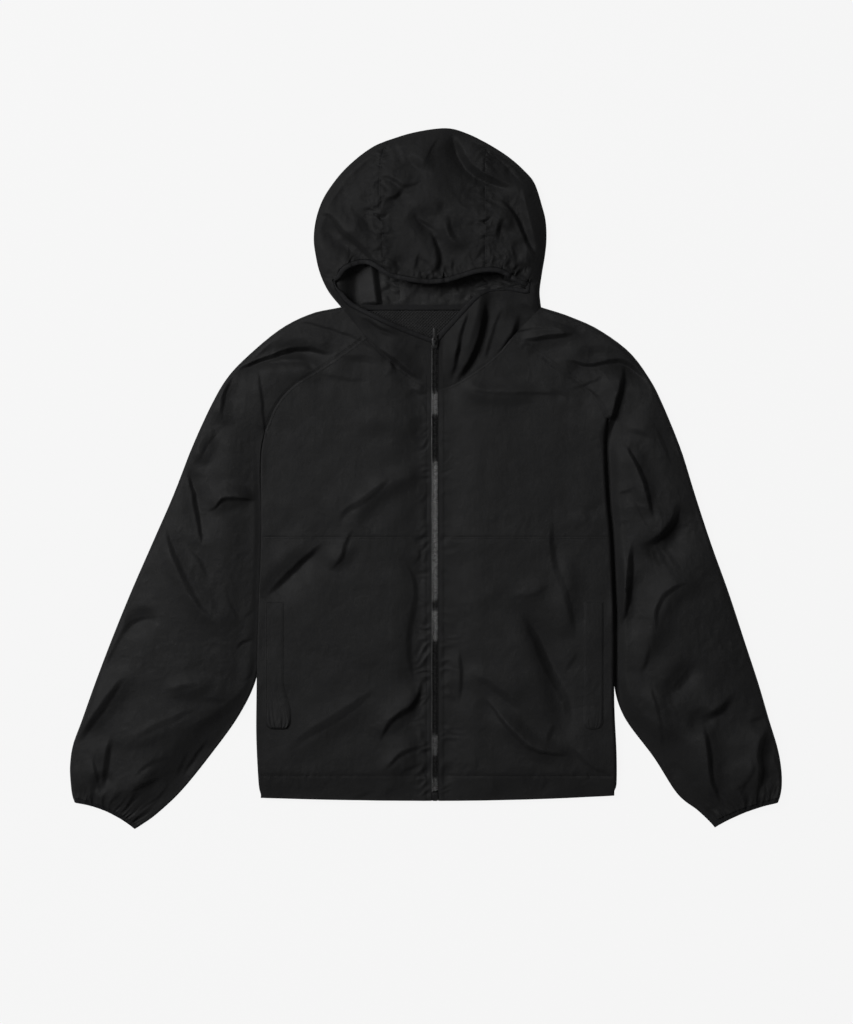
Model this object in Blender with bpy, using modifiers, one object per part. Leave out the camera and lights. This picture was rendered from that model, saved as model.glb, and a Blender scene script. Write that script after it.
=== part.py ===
"""Hooded windbreaker jacket, laid flat on its back with the zip closed.

The frame: the origin is on the underside of the back panel, on the centre line at armpit
level. +X points to the wearer's left, +Y to the hood and +Z up from the surface that the
jacket lies on. All the sizes below are in millimetres.
"""
from collections import namedtuple

import bmesh
import bpy
import numpy as np

MM = 0.001

# Driving dimensions
WALL = 1.2              # cloth wall
BINDING_WALL = 2.2      # folded elastic of the hood edge
CUFF_WALL = 1.5
TAPE_WALL = 0.8
GAP = 0.3               # between pieces at a seam, and between layers
ZIP_TOP = 181.0         # where the front edges end, at the chin
NECK_Y = 229.6          # back neck seam
NECK_FRONT_Y = 120.0    # front neck seam, at the zip
CHEST_SEAM_Y = -76.0
ZIP_HALF_OPENING = 4.5  # from the centre line to each front edge

ZIP_HEIGHT = 9.0        # top of the fronts beside the zip and at the hem
BODY_PUFF = 5.0         # how far the rest of the fronts stand above that
HEM_RISE = 45.0         # length over which the fronts rise from the hem
FLAT_BY_ZIP = 15.0      # half width of the flat stretch beside the zip
PUFF_REACH = 45.0       # from there to the fronts' full height
FOLD_REACH = 20.0       # from there to the folds' full height
FOLD_FULL = 0.4         # share of a fold's half length that has its full height
FOLD_FADE = 0.8         # share of it over which the fold dies out
CHIN_LIFT = 5.0         # rise of the chin from the neck seam to its free edge
SIDE_SEAM_HEIGHT = 7.0
SIDE_ROLL = 6.0
BACK_EDGE_HEIGHT = 5.2  # where the back panel ends under the side seam
BACK_EDGE_INSET = 1.6
BACK_ROLL = 15.0
TUCK = 2.0              # how far a sleeve goes in under the body's side
TUCK_START = 72.0       # from the armpit to where it starts to go under
TUCK_REACH = 87.0
TUCK_HEIGHT = 2.0       # of a sleeve's inner fold, at mid height
TUCK_TOP = 4.4
TUCK_ROLL = 5.0
TUCK_STEPS = (0.0, 0.25, 1.0)    # places of the points round it
UNDER_TUCKS = (1.9, 3.2, 5.0)    # the same on the back, which ends short of the fold
UNDER_ROLLS = (2.2, 4.0, 7.0)    # and by the outer fold
UNDER_CLEAR = 2 * WALL + 2 * GAP    # of the back's outside below the front's
UNDER_RISE = 2.5        # reach of the inner fold's underside, in its own heights
PUFF_POWER = 0.8        # below 1, a sleeve is fuller near its edges
ARMPIT_HEIGHT = 5.6     # of the inner fold just below the armpit
ARMPIT_REACH = 87.0     # length over which the inner fold comes down
ARMPIT_EASE = 16.0      # width over which the open sleeve rises from the armpit's seam
CLOSING = 28.0          # length below the armpit over which a sleeve becomes a tube
SLEEVE_RISE = {"right": 14.0, "left": 22.0}     # from the inner fold to full height
SLEEVE_ROLL = 7.0       # outer fold of a sleeve
SLEEVE_FOLD_HEIGHT = 2.0
HOOD_ROLL = 14.0        # outer fold of the hood
HOOD_FOLD_HEIGHT = 8.0
HOOD_START = 45.0       # above the back neck, where the outer fold is the hood's
HOOD_BULGE = 14.0
HOOD_BULGE_REACH = 75.0
BINDING_WIDTH = 6.4
BINDING_GAP = 1.1       # room for the slanting edge of the cloth beside it
BINDING_PROUD = 0.5     # of the hood's binding above the cloth beside it
BINDING_END_X = 2.6     # from the centre line to each of its ends
CUFF_WIDTH = 8.0
CUFF_GAP = 0.6
CUFF_BOW = {"right": 6.5, "left": 4.0}      # of the cuff's edge, up into the sleeve
CUFF_BOW_REACH = 60.0
CUFF_GATHER = 1.1       # height of the gathers at the cuff
CUFF_GATHER_REACH = 38.0

ROLL_STEPS = (0.09, 0.32, 0.64, 1.0)    # places of the points round a soft fold
RAGLAN_STEPS = (0, 0.13, 0.26, 0.39, 0.52, 0.65, 0.77, 0.87, 0.95, 1.0)

Point = namedtuple("Point", "x y")
Station = namedtuple("Station", "outer_x outer_y inner_x inner_y puff")
Fold = namedtuple("Fold", "x0 y0 x1 y1 x2 y2 width height")

NECK_FRONT = {      # front neck seam, from the zip to the raglan seam
    "right": (Point(-4.5, 119), Point(-31, 136), Point(-60, 158), Point(-92, 190)),
    "left": (Point(4.5, 119), Point(28, 128), Point(57, 146), Point(82, 166), Point(102, 189)),
}
RAGLAN_FRONT = {    # from the neck seam to the armpit
    "right": (Point(-92, 190), Point(-120, 169), Point(-156, 145), Point(-189, 124),
              Point(-211, 98), Point(-225, 66)),
    "left": (Point(102, 189), Point(130, 172), Point(161, 150), Point(193, 127),
             Point(215, 107), Point(229, 80)),
}
RAGLAN_BACK = {
    "right": (Point(-81, NECK_Y), Point(-110, 203), Point(-146, 171), Point(-182, 138),
              Point(-209, 104), Point(-225, 66)),
    "left": (Point(81, NECK_Y), Point(113, 203), Point(149, 172), Point(185, 141),
             Point(212, 112), Point(229, 80)),
}
SIDE = {            # side seam, from the armpit to the hem
    "right": (Point(-225, 66), Point(-231, 27), Point(-231, -80), Point(-235, -189),
              Point(-237, -293), Point(-237, -346), Point(-234, -404), Point(-231, -422)),
    "left": (Point(229, 80), Point(226, 40), Point(229, -27), Point(234, -80),
             Point(238, -189), Point(238, -293), Point(241, -362), Point(241, -404),
             Point(238, -419)),
}
HEM_CENTER_Y = -426.0

SHOULDER = {        # outer fold of each sleeve, from the neck to armpit level
    "right": (Point(-125, NECK_Y), Point(-164, 221), Point(-203, 202), Point(-243, 170),
              Point(-275, 137), Point(-298, 98)),
    "left": (Point(141, NECK_Y), Point(177, 218), Point(217, 200), Point(258, 170),
             Point(286, 133), Point(304, 97)),
}
SLEEVE = {          # sections of each sleeve, from armpit level to the cuff
    "right": (
        Station(-298, 98, -225, 66, 5), Station(-323, 43, -230, 22, 6),
        Station(-348, -21, -229, -35, 7), Station(-376, -85, -230, -95, 8),
        Station(-404, -149, -232, -155, 8), Station(-430, -213, -234, -213, 8),
        Station(-452, -271, -237, -262, 8), Station(-469, -319, -260, -312, 8),
        Station(-481, -352, -298, -365, 7), Station(-485, -380, -337, -413, 6),
        Station(-484, -404, -370, -444, 3), Station(-482, -419, -391, -459, -2),
        Station(-479, -428, -399, -464, -5)),
    "left": (
        Station(304, 97, 229, 80, 5), Station(327, 40, 224, 26, 6),
        Station(346, -21, 227, -32, 7), Station(367, -85, 231, -92, 8),
        Station(390, -149, 234, -152, 8), Station(411, -213, 236, -213, 8),
        Station(430, -271, 237, -266, 8), Station(444, -319, 251, -314, 8),
        Station(455, -355, 291, -369, 7), Station(460, -382, 322, -417, 6),
        Station(461, -404, 349, -439, 3), Station(459, -419, 365, -454, -2),
        Station(456, -428, 372, -462, -5)),
}

HOOD_OUTLINE = {    # outer fold of the hood, from its centre strip down to the neck
    "right": (Point(-65, 450), Point(-81, 443), Point(-100, 430), Point(-121, 411),
              Point(-138, 390), Point(-150, 370), Point(-158, 346), Point(-161, 322),
              Point(-159, 301), Point(-153, 275), Point(-142, 251), Point(-125, NECK_Y)),
    "left": (Point(69, 447), Point(84, 438), Point(100, 427), Point(117, 412),
             Point(132, 394), Point(142, 364), Point(147, 343), Point(148, 319),
             Point(146, 298), Point(142, 274), Point(139, 250), Point(141, NECK_Y)),
}
CROWN = (Point(-65, 450), Point(-33, 460), Point(0, 466), Point(23, 466), Point(47, 458),
         Point(69, 447))
HOOD_SEAM = {       # top seam of the centre strip, from the crown to the hood's front edge
    "right": (Point(-65, 450), Point(-72, 420), Point(-74, 388), Point(-73, 356),
              Point(-70, 326), Point(-69, 281)),
    "left": (Point(69, 447), Point(66, 419), Point(66, 392), Point(66, 366),
             Point(66, 339), Point(66, 281)),
}
HOOD_BACK_SEAM_X = 45.0     # half width of the centre strip at the back neck
HOOD_EDGE_CENTER = (Point(-69, 281), Point(-55, 273), Point(-16, 266), Point(12, 267),
                    Point(33, 273), Point(53, 279), Point(66, 281))
HOOD_EDGE = {       # front edge of each side panel, from the outer fold to the seam
    "right": (Point(-150, 268), Point(-133, 266), Point(-126, 279), Point(-110, 289),
              Point(-89, 292), Point(-69, 281)),
    "left": (Point(141, 264), Point(126, 262), Point(112, 266), Point(93, 277),
             Point(80, 281), Point(66, 281)),
}
CHIN_EDGE = {       # free edge of the chin, from the outer fold to the zip
    "right": (Point(-144, 255), Point(-131, 250), Point(-119, 234), Point(-100, 222),
              Point(-65, 205), Point(-36, 193), Point(-4.5, ZIP_TOP)),
    "left": (Point(139, 250), Point(122, 246), Point(97, 250), Point(77, 249),
             Point(62, 243), Point(45, 227), Point(28, 208), Point(13, 192),
             Point(4.5, ZIP_TOP)),
}

BODY_FOLDS = (
    Fold(-149, -84, -197, -124, -223, -153, 14, -5),
    Fold(-105, -80, -122, -98, -138, -117, 12, 3),
    Fold(-17, 5, -71, -12, -125, -73, 13, 5),
    Fold(-17, -277, -45, -310, -68, -334, 13, 4),
    Fold(-17, -355, -44, -370, -70, -386, 13, 4),
    Fold(-70, -279, -135, -325, -197, -364, 16, 3),
    Fold(109, -157, 154, -254, 172, -338, 14, -6),
    Fold(67, -295, 116, -344, 168, -367, 13, 6),
    Fold(44, -254, 75, -275, 109, -302, 14, 4),
    Fold(46, 121, 80, 113, 157, 117, 13, 5),
    Fold(109, -157, 127, -148, 148, -138, 12, 4),
    Fold(173, -98, 175, -150, 170, -205, 14, 4),
    Fold(-20, 60, -60, 80, -120, 70, 18, 3),
)
SLEEVE_FOLDS = (
    Fold(-267, 144, -203, 170, -138, 162, 13, -7),
    Fold(-240, 138, -196, 150, -156, 138, 12, 4),
    Fold(-271, 141, -284, 106, -278, 76, 13, 5),
    Fold(-295, 62, -306, 42, -313, 23, 13, 5),
    Fold(-327, 12, -321, -30, -309, -86, 14, -6),
    Fold(-290, -39, -272, -24, -235, -27, 13, 6),
    Fold(-358, -63, -326, -140, -261, -211, 15, 6),
    Fold(-366, -181, -392, -186, -411, -205, 13, -5),
    Fold(-407, -257, -436, -296, -475, -345, 16, 6),
    Fold(-356, -279, -325, -275, -295, -265, 13, 5),
    Fold(-400, -344, -362, -332, -322, -314, 14, 4),
    Fold(-455, -369, -440, -405, -430, -342, 11, -4),
    Fold(176, 156, 240, 160, 290, 124, 13, -7),
    Fold(115, 184, 150, 190, 186, 197, 12, 4),
    Fold(254, 44, 272, 4, 287, -51, 14, 6),
    Fold(322, -31, 309, -92, 255, -73, 15, -6),
    Fold(263, -105, 252, -150, 243, -200, 13, 5),
    Fold(335, -134, 296, -175, 270, -257, 15, 6),
    Fold(344, -241, 326, -266, 306, -289, 14, -5),
    Fold(286, -273, 299, -315, 306, -363, 14, 5),
    Fold(396, -283, 350, -320, 376, -318, 14, -4),
    Fold(354, -325, 368, -372, 363, -422, 12, 4),
    Fold(444, -329, 428, -362, 431, -422, 12, 5),
)
HOOD_FOLDS = (
    Fold(29, 458, 48, 416, 112, 387, 13, -6),
    Fold(114, 388, 120, 350, 134, 298, 12, 5),
    Fold(-48, 436, -104, 415, -142, 359, 15, -5),
    Fold(-156, 347, -120, 313, -82, 289, 13, -6),
    Fold(-25, 351, -3, 330, 2, 283, 13, -6),
    Fold(16, 350, 24, 325, 36, 307, 13, 5),
    Fold(77, 332, 92, 345, 100, 311, 14, 4),
)
CHIN_FOLDS = (
    Fold(62, 246, 50, 202, 23, 130, 9, 6),
    Fold(72, 240, 58, 182, 30, 128, 8, -5),
    Fold(98, 249, 84, 190, 73, 160, 10, 6),
)

SIDES = {"right": -1, "left": 1}


# ---------------------------------------------------------------- curves and heights

def smooth_curve(points, steps=10):
    """A Catmull-Rom curve through the points, with the given steps between each two."""
    knots = np.array(points, float)
    knots = np.vstack([2 * knots[0] - knots[1], knots, 2 * knots[-1] - knots[-2]])
    curve = []
    for before, start, end, after in zip(knots, knots[1:], knots[2:], knots[3:]):
        for t in np.arange(steps) / steps:
            curve.append(0.5 * (2 * start + (end - before) * t
                                + (2 * before - 5 * start + 4 * end - after) * t ** 2
                                + (3 * start - before - 3 * end + after) * t ** 3))
    curve.append(knots[-2])
    return np.array(curve)


def lengths_along(line):
    return np.concatenate([[0], np.cumsum(np.linalg.norm(np.diff(line, axis=0), axis=1))])


def at_lengths(line, lengths):
    """Points at the given lengths along a polyline."""
    along = lengths_along(line)
    return np.stack([np.interp(lengths, along, line[:, axis])
                     for axis in range(line.shape[1])], -1)


def at_fractions(line, fractions):
    return at_lengths(line, np.asarray(fractions, float) * lengths_along(line)[-1])


def distance_to(line, x, y):
    """Distance in plan from each place to a polyline."""
    places = np.stack([x, y], -1)
    nearest = np.full(np.shape(x), np.inf)
    for start, end in zip(line, line[1:]):
        run = end - start
        t = np.clip((places - start) @ run / (run @ run), 0, 1)
        nearest = np.minimum(nearest, np.linalg.norm(places - start - t[..., None] * run, axis=-1))
    return nearest


def smooth_step(value):
    value = np.clip(value, 0, 1)
    return value * value * (3 - 2 * value)


def roll(inset, radius):
    """Rise of a soft fold, from 0 on its outline to 1 at its radius inside."""
    return np.sqrt(1 - (1 - np.clip(inset / radius, 0, 1)) ** 2)


def fold_heights(folds, x, y):
    """Soft ridges and troughs, each along the arc through its three points."""
    total = np.zeros(np.shape(x))
    for fold in folds:
        start = np.array((fold.x0, fold.y0), float)
        middle = np.array((fold.x1, fold.y1), float)
        end = np.array((fold.x2, fold.y2), float)
        control = 2 * middle - (start + end) / 2
        t = np.linspace(0, 1, 13)[:, None]
        arc = (1 - t) ** 2 * start + 2 * t * (1 - t) * control + t ** 2 * end
        off_line = distance_to(arc, x, y)
        reach = np.linalg.norm(end - start) / 2
        from_middle = np.hypot(x - middle[0], y - middle[1])
        fade = 1 - smooth_step((from_middle - FOLD_FULL * reach) / (FOLD_FADE * reach))
        total = total + fold.height * np.exp(-(off_line / fold.width) ** 2) * fade
    return total


def side_line(side):
    return smooth_curve(SIDE[side], 6)


def outer_outline():
    """The garment's outer folds, from one cuff over the hood to the other cuff."""
    halves = {}
    for side in SIDES:
        sleeve = [(station.outer_x, station.outer_y) for station in SLEEVE[side][1:]]
        shoulder = smooth_curve(list(SHOULDER[side]) + sleeve, 4)
        hood = smooth_curve(HOOD_OUTLINE[side], 4)
        halves[side] = (shoulder[::-1], hood[::-1])
    return np.vstack([halves["right"][0], halves["right"][1][1:], smooth_curve(CROWN, 4)[1:],
                      halves["left"][1][::-1][1:], halves["left"][0][::-1][1:]])


FOLDS = BODY_FOLDS + SLEEVE_FOLDS
OUTLINE = outer_outline()
SIDE_LINES = {side: side_line(side) for side in SIDES}


def fold_radius(y):
    """Radius of the garment's outer fold: small on a sleeve, larger round the hood."""
    return SLEEVE_ROLL + (HOOD_ROLL - SLEEVE_ROLL) * smooth_step((y - NECK_Y) / HOOD_START)


def fold_middle(y):
    """Height of the outer fold's widest line."""
    return (SLEEVE_FOLD_HEIGHT + (HOOD_FOLD_HEIGHT - SLEEVE_FOLD_HEIGHT)
            * smooth_step((y - NECK_Y) / HOOD_START))


def over_fold(plateau, x, y):
    """Top cloth that comes up from the outer fold to a height."""
    middle = fold_middle(y)
    return middle + (plateau - middle) * roll(distance_to(OUTLINE, x, y), fold_radius(y))


def under_fold(x, y):
    """Cloth that rests on the surface and turns up into the outer fold."""
    return fold_middle(y) * (1 - roll(distance_to(OUTLINE, x, y), fold_radius(y)))


def front_plateau(x, y):
    """Height of the laid fronts, low and level beside the zip and low at the hem."""
    return (ZIP_HEIGHT + BODY_PUFF * smooth_step((np.abs(x) - FLAT_BY_ZIP) / PUFF_REACH)
            * smooth_step((y - HEM_CENTER_Y) / HEM_RISE))


def away_from_zip(x):
    return smooth_step((np.abs(x) - FLAT_BY_ZIP) / FOLD_REACH)


def body_top(side, x, y, folds=FOLDS):
    from_hem = smooth_step((y - HEM_CENTER_Y) / HEM_RISE)
    plateau = front_plateau(x, y) + away_from_zip(x) * from_hem * fold_heights(folds, x, y)
    inset = distance_to(SIDE_LINES[side], x, y)
    return SIDE_SEAM_HEIGHT + (plateau - SIDE_SEAM_HEIGHT) * roll(inset, SIDE_ROLL)


def back_under(x, y):
    """Underside of the back, flat on the surface and lifting to the side seams."""
    inset = np.minimum(distance_to(SIDE_LINES["right"], x, y),
                       distance_to(SIDE_LINES["left"], x, y))
    return BACK_EDGE_HEIGHT * (1 - smooth_step((inset - BACK_EDGE_INSET) / BACK_ROLL))


def level(points, heights):
    """Plan points given their heights."""
    heights = np.broadcast_to(heights, np.shape(points)[:-1])
    return np.concatenate([points, heights[..., None]], -1)


def shifted(line, distance):
    """A polyline moved sideways, to the left of its run."""
    run = np.gradient(line, axis=0)
    run /= np.linalg.norm(run, axis=1)[:, None]
    return line + distance * np.stack([-run[:, 1], run[:, 0]], -1)


# ---------------------------------------------------------------- objects

def material(name, colour, roughness, metallic=0.0):
    made = bpy.data.materials.new(name)
    made.use_nodes = True
    shader = made.node_tree.nodes["Principled BSDF"]
    shader.inputs["Base Color"].default_value = (*colour, 1)
    shader.inputs["Roughness"].default_value = roughness
    shader.inputs["Metallic"].default_value = metallic
    return made


def linked(mesh, name, finish, collection):
    made = bpy.data.objects.new(name, mesh)
    made.data.materials.append(finish)
    collection.objects.link(made)
    return made


def cloth(name, grid, finish, collection, wall=WALL, flip=False, skipped=frozenset()):
    """A wall of cloth inside the outer points of a grid, given in rows of columns.

    skipped holds the (row, column) cells left open. Where a row starts and ends on one
    point, the cloth is closed into a tube there.
    """
    rows, columns = grid.shape[:2]
    bm = bmesh.new()
    points = [[bm.verts.new(grid[row, column] * MM) for column in range(columns)]
              for row in range(rows)]
    for row in range(rows - 1):
        for column in range(columns - 1):
            if (row, column) in skipped:
                continue
            corners = [points[row][column], points[row][column + 1],
                       points[row + 1][column + 1], points[row + 1][column]]
            bm.faces.new(corners[::-1] if flip else corners)
    bmesh.ops.remove_doubles(bm, verts=bm.verts, dist=0.01 * MM)
    loose = [vert for vert in bm.verts if not vert.link_faces]
    bmesh.ops.delete(bm, geom=loose, context="VERTS")
    mesh = bpy.data.meshes.new(name)
    bm.to_mesh(mesh)
    bm.free()
    mesh.shade_smooth()
    made = linked(mesh, name, finish, collection)
    shell = made.modifiers.new("Wall", "SOLIDIFY")
    shell.thickness = wall * MM
    shell.offset = -1
    return made


def box(name, low, high, finish, collection, bevel=0.0):
    """A box between two corners, in millimetres."""
    low = np.array(low, float)
    high = np.array(high, float)
    bm = bmesh.new()
    bmesh.ops.create_cube(bm, size=1)
    for vert in bm.verts:
        vert.co = ((np.array(vert.co) + 0.5) * (high - low) + low) * MM
    mesh = bpy.data.meshes.new(name)
    bm.to_mesh(mesh)
    bm.free()
    made = linked(mesh, name, finish, collection)
    if bevel:
        edges = made.modifiers.new("Edges", "BEVEL")
        edges.width = bevel * MM
        edges.segments = 2
    return made


def combine(target, other, operation):
    """A Boolean on target. What is only a tool is hidden, and stays with the cutters."""
    step = target.modifiers.new(operation.title(), "BOOLEAN")
    step.operation = operation
    step.object = other
    other.hide_render = True
    other.display_type = "WIRE"


# ---------------------------------------------------------------- grids

SEAM_TRIM = 0.25        # each piece stops this far short of a seam line
WELT = {"right": (197, 225), "left": (193, 223)}     # its edges, from the centre line
WELT_LOW_Y = -330.0
WELT_HIGH_Y = -161.0
FRONT_STEPS = 12        # columns of a front from its zip side to its welt
SIDE_STEP = 2.0
SIDE_EASE = 90.0        # width over which the upper front bends to the side seam
BESIDE = 0.6            # from the body's side to a sleeve that lies beside it
FRONT_ROWS = np.concatenate([
    (HEM_CENTER_Y, -411), np.linspace(-396, WELT_LOW_Y, 5)[:-1],
    np.linspace(WELT_LOW_Y, WELT_HIGH_Y, 9)[:-1], np.linspace(WELT_HIGH_Y, CHEST_SEAM_Y, 5)])
WELT_ROWS = (6, 14)
WELT_COLUMNS = slice(-5, -2)
UPPER_ROWS = 11
NECK_STEPS = 8
SLEEVE_ROWS = 22
SLEEVE_ROLL_STEPS = (0.12, 0.45, 1.0)
SLEEVE_TOP_COLUMNS = 10
HOOD_COLUMNS = 16
GATHER = 1.0            # height of the gathers along the hood's elastic
GATHER_REACH = 26.0
HOOD_ROWS = 8
HOOD_BACK_ROWS = 6
CHIN_ROWS = 3
CROWN_SHARE = 0.02      # of the hood's back seam, taken by the wrap beside the centre strip


def trimmed(grid, first_row=False, last_row=False, first_column=False, last_column=False):
    """The grid with the borders that are seams pulled in along its own lines."""
    grid = grid.copy()

    def pull(border, inner):
        run = inner - border
        border += SEAM_TRIM * run / np.linalg.norm(run, axis=-1)[..., None]

    if first_row:
        pull(grid[0], grid[1])
    if last_row:
        pull(grid[-1], grid[-2])
    if first_column:
        pull(grid[:, 0], grid[:, 1])
    if last_column:
        pull(grid[:, -1], grid[:, -2])
    return grid


def between(start, end, steps):
    """Points from start to end in a row of even steps, or at the given fractions."""
    fractions = np.linspace(0, 1, steps + 1) if np.isscalar(steps) else np.asarray(steps)
    start = np.asarray(start, float)
    end = np.asarray(end, float)
    return start + fractions[:, None] * (end - start)


def from_both_ends(length, first_steps, inner, last_steps):
    """Places along a row: steps from its start, even ones, then steps up to its end."""
    middle = np.linspace(first_steps[-1], length - last_steps[0], inner + 2)[1:-1]
    return np.concatenate([first_steps, middle, length - np.asarray(last_steps)])


def side_x(side, y):
    """How far the side seam is from the centre line, below the armpit."""
    line = SIDE_LINES[side]
    return np.interp(y, line[::-1, 1], np.abs(line[::-1, 0]))


def raglan_points(side, raglan):
    return at_fractions(smooth_curve(raglan[side]), RAGLAN_STEPS)


def neck_points(side):
    return at_fractions(smooth_curve(NECK_FRONT[side]), np.linspace(0, 1, NECK_STEPS + 1))


# ---------------------------------------------------------------- body

def lower_front_plan(side):
    """Rows from the hem up, columns from the zip to the side."""
    near, far = WELT[side]
    across = np.concatenate([(ZIP_HALF_OPENING, FLAT_BY_ZIP),
                             np.linspace(FLAT_BY_ZIP, near, FRONT_STEPS + 1)[1:],
                             ((near + far) / 2, far)])
    rows = []
    for row, y in enumerate(FRONT_ROWS):
        edge = side_x(side, y)
        columns = np.concatenate([across, (edge - SIDE_STEP, edge)])
        heights = np.full(len(columns), float(y))
        if row == 0:
            heights += (SIDE[side][-1].y - HEM_CENTER_Y) * (columns / edge) ** 2
        rows.append(np.stack([SIDES[side] * columns, heights], -1))
    return np.array(rows)


def upper_front_plan(side):
    """Rows from the chest seam to the neck and raglan seams. Their ends follow the side."""
    low = lower_front_plan(side)[-1]
    high = np.vstack([neck_points(side), raglan_points(side, RAGLAN_FRONT)[1:]])
    plan = low + np.linspace(0, 1, UPPER_ROWS + 1)[:, None, None] * (high - low)
    outward = SIDES[side] * side_x(side, plan[:, -1, 1]) - plan[:, -1, 0]
    from_side = np.linalg.norm(low - low[-1], axis=1)
    plan[..., 0] += outward[:, None] * (1 - smooth_step(from_side / SIDE_EASE))
    return plan


def raised(side, plan):
    return level(plan, body_top(side, plan[..., 0], plan[..., 1]))


def make_fronts(shell, collection):
    for side, sign in SIDES.items():
        lower = raised(side, lower_front_plan(side))
        upper = raised(side, upper_front_plan(side))
        cloth(f"front_lower_{side}", trimmed(lower, last_row=True), shell, collection,
              flip=sign < 0)
        cloth(f"front_upper_{side}", trimmed(upper, first_row=True, last_row=True), shell,
              collection, flip=sign < 0)
        first_row, last_row = WELT_ROWS
        welt = lower[first_row:last_row + 1, WELT_COLUMNS].copy()
        welt[..., 2] += WALL + GAP
        cloth(f"pocket_welt_{side}", welt, shell, collection, flip=sign < 0)


def make_back(shell, collection):
    """Rows from the hem up to the back neck, columns from the right side to the left."""
    ends = {}
    for side, sign in SIDES.items():
        armpit = SIDE[side][0]
        heights = np.concatenate([
            np.linspace(SIDE[side][-1].y, CHEST_SEAM_Y, 10)[:-1],
            np.linspace(CHEST_SEAM_Y, armpit.y, 6)[:-1]])
        edge = sign * (side_x(side, heights) - BACK_EDGE_INSET)
        raglan = raglan_points(side, RAGLAN_BACK)[::-1]
        raglan[0, 0] -= sign * BACK_EDGE_INSET
        ends[side] = np.vstack([np.stack([edge, heights], -1), raglan])
    rows = []
    for right, left in zip(ends["right"], ends["left"]):
        width = np.linalg.norm(left - right)
        places = from_both_ends(width, (0, 4, 9, BACK_ROLL), 3, (BACK_ROLL, 9, 4, 0))
        rows.append(between(right, left, places / width))
    plan = np.array(rows)
    grid = level(plan, back_under(plan[..., 0], plan[..., 1]))
    grid = trimmed(grid, last_row=True, first_column=True, last_column=True)
    cloth("back_panel", grid, shell, collection, flip=True)


# ---------------------------------------------------------------- sleeves

def sleeve_rows(side):
    """For each row: its outer, front and back points, its puff, and how far along the sleeve
    it is from the armpit and from the cuff's edge."""
    outer = at_fractions(smooth_curve(SHOULDER[side]), RAGLAN_STEPS)
    front = raglan_points(side, RAGLAN_FRONT)
    back = raglan_points(side, RAGLAN_BACK)
    puffs = SLEEVE[side][0].puff * smooth_step(np.array(RAGLAN_STEPS))
    stations = smooth_curve(SLEEVE[side])
    along = lengths_along(stations[:, :2])
    length = along[-1]
    rows = [(o, f, b, puff, 0.0, length) for o, f, b, puff in zip(outer, front, back, puffs)]
    places = np.append(np.linspace(0, length - CUFF_WIDTH - CUFF_GAP, SLEEVE_ROWS + 1)[1:],
                       (length - CUFF_WIDTH, length))
    for place in places:
        station = np.array([np.interp(place, along, stations[:, axis]) for axis in range(5)])
        inner = station[2:4].copy()
        tucked = smooth_step((place - TUCK_START) / TUCK_REACH)
        beside = side_x(side, inner[1]) + BESIDE - (TUCK + BESIDE) * tucked
        inner[0] = SIDES[side] * max(abs(inner[0]), beside)
        rows.append((station[:2], inner, inner, station[4], place, length - place))
    return rows


def bowed(plan, start, end, to_cuff, bow):
    """The points of a row that runs from start to end, arched up into the sleeve by the cuff."""
    run = end - start
    across = np.clip((plan - start) @ run / (run @ run), 0, 1)
    upward = np.array((-run[1], run[0])) / np.linalg.norm(run)
    upward *= np.sign(upward[1])
    rise = bow * (1 - smooth_step(to_cuff / CUFF_BOW_REACH)) * 4 * across * (1 - across)
    return plan + rise[:, None] * upward


def sleeve_row(side, outer, front, back, puff, from_armpit, to_cuff):
    """One section: across the back from the underarm, round the outer fold, over the front."""
    across_back = np.linalg.norm(outer - back)
    across = np.linalg.norm(outer - front)
    rolls = SLEEVE_ROLL * np.array(SLEEVE_ROLL_STEPS)
    tucks = TUCK_ROLL * np.array(TUCK_STEPS)
    closed = min(1, from_armpit / CLOSING)
    under_tucks = tucks + closed * (np.array(UNDER_TUCKS) - tucks)
    under = from_both_ends(across_back, under_tucks, 1, np.array(UNDER_ROLLS)[::-1])
    over = np.append(0, from_both_ends(across, rolls, SLEEVE_TOP_COLUMNS, tucks[::-1]))
    under_plan = bowed(between(back, outer, under / across_back), outer, back, to_cuff,
                       CUFF_BOW[side])
    over_plan = bowed(between(outer, front, over / across), outer, front, to_cuff,
                      CUFF_BOW[side])
    x, y = over_plan.T
    inside = across - over
    folds = fold_heights(FOLDS, x, y)
    bulge = puff * np.sin(np.pi * np.clip(inside / across, 0, 1)) ** PUFF_POWER
    seam = body_top(side, front[:1], front[1:], ())[0]
    edge = ARMPIT_HEIGHT + (TUCK_HEIGHT - ARMPIT_HEIGHT) * min(1, from_armpit / ARMPIT_REACH)
    tuck_top = edge + TUCK_TOP - TUCK_HEIGHT
    plateau = ZIP_HEIGHT + BODY_PUFF
    full = plateau + bulge + folds
    open_top = full + (seam - plateau) * (1 - smooth_step(inside / ARMPIT_EASE))
    closed_top = (edge + (tuck_top - edge) * roll(inside, TUCK_ROLL)
                  + (full - tuck_top) * smooth_step((inside - TUCK_ROLL) / SLEEVE_RISE[side]))
    ups_and_downs = (-1.0) ** np.arange(len(over))
    ups_and_downs[:len(rolls)] = 0
    ups_and_downs[-len(tucks):] = 0
    gathers = CUFF_GATHER * ups_and_downs * (1 - smooth_step(to_cuff / CUFF_GATHER_REACH))
    top = over_fold(open_top + (closed_top - open_top) * closed + gathers, x, y)
    x, y = under_plan.T
    open_under = back_under(x, y) * (1 - smooth_step(under / (2 * BACK_ROLL)))
    closed_under = edge * (1 - roll(under, UNDER_RISE * edge))
    lifted = open_under + (closed_under - open_under) * closed
    lifted = np.minimum(lifted, seam - UNDER_CLEAR)
    return np.vstack([level(under_plan, np.maximum(under_fold(x, y), lifted)),
                      level(over_plan, top)])


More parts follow.
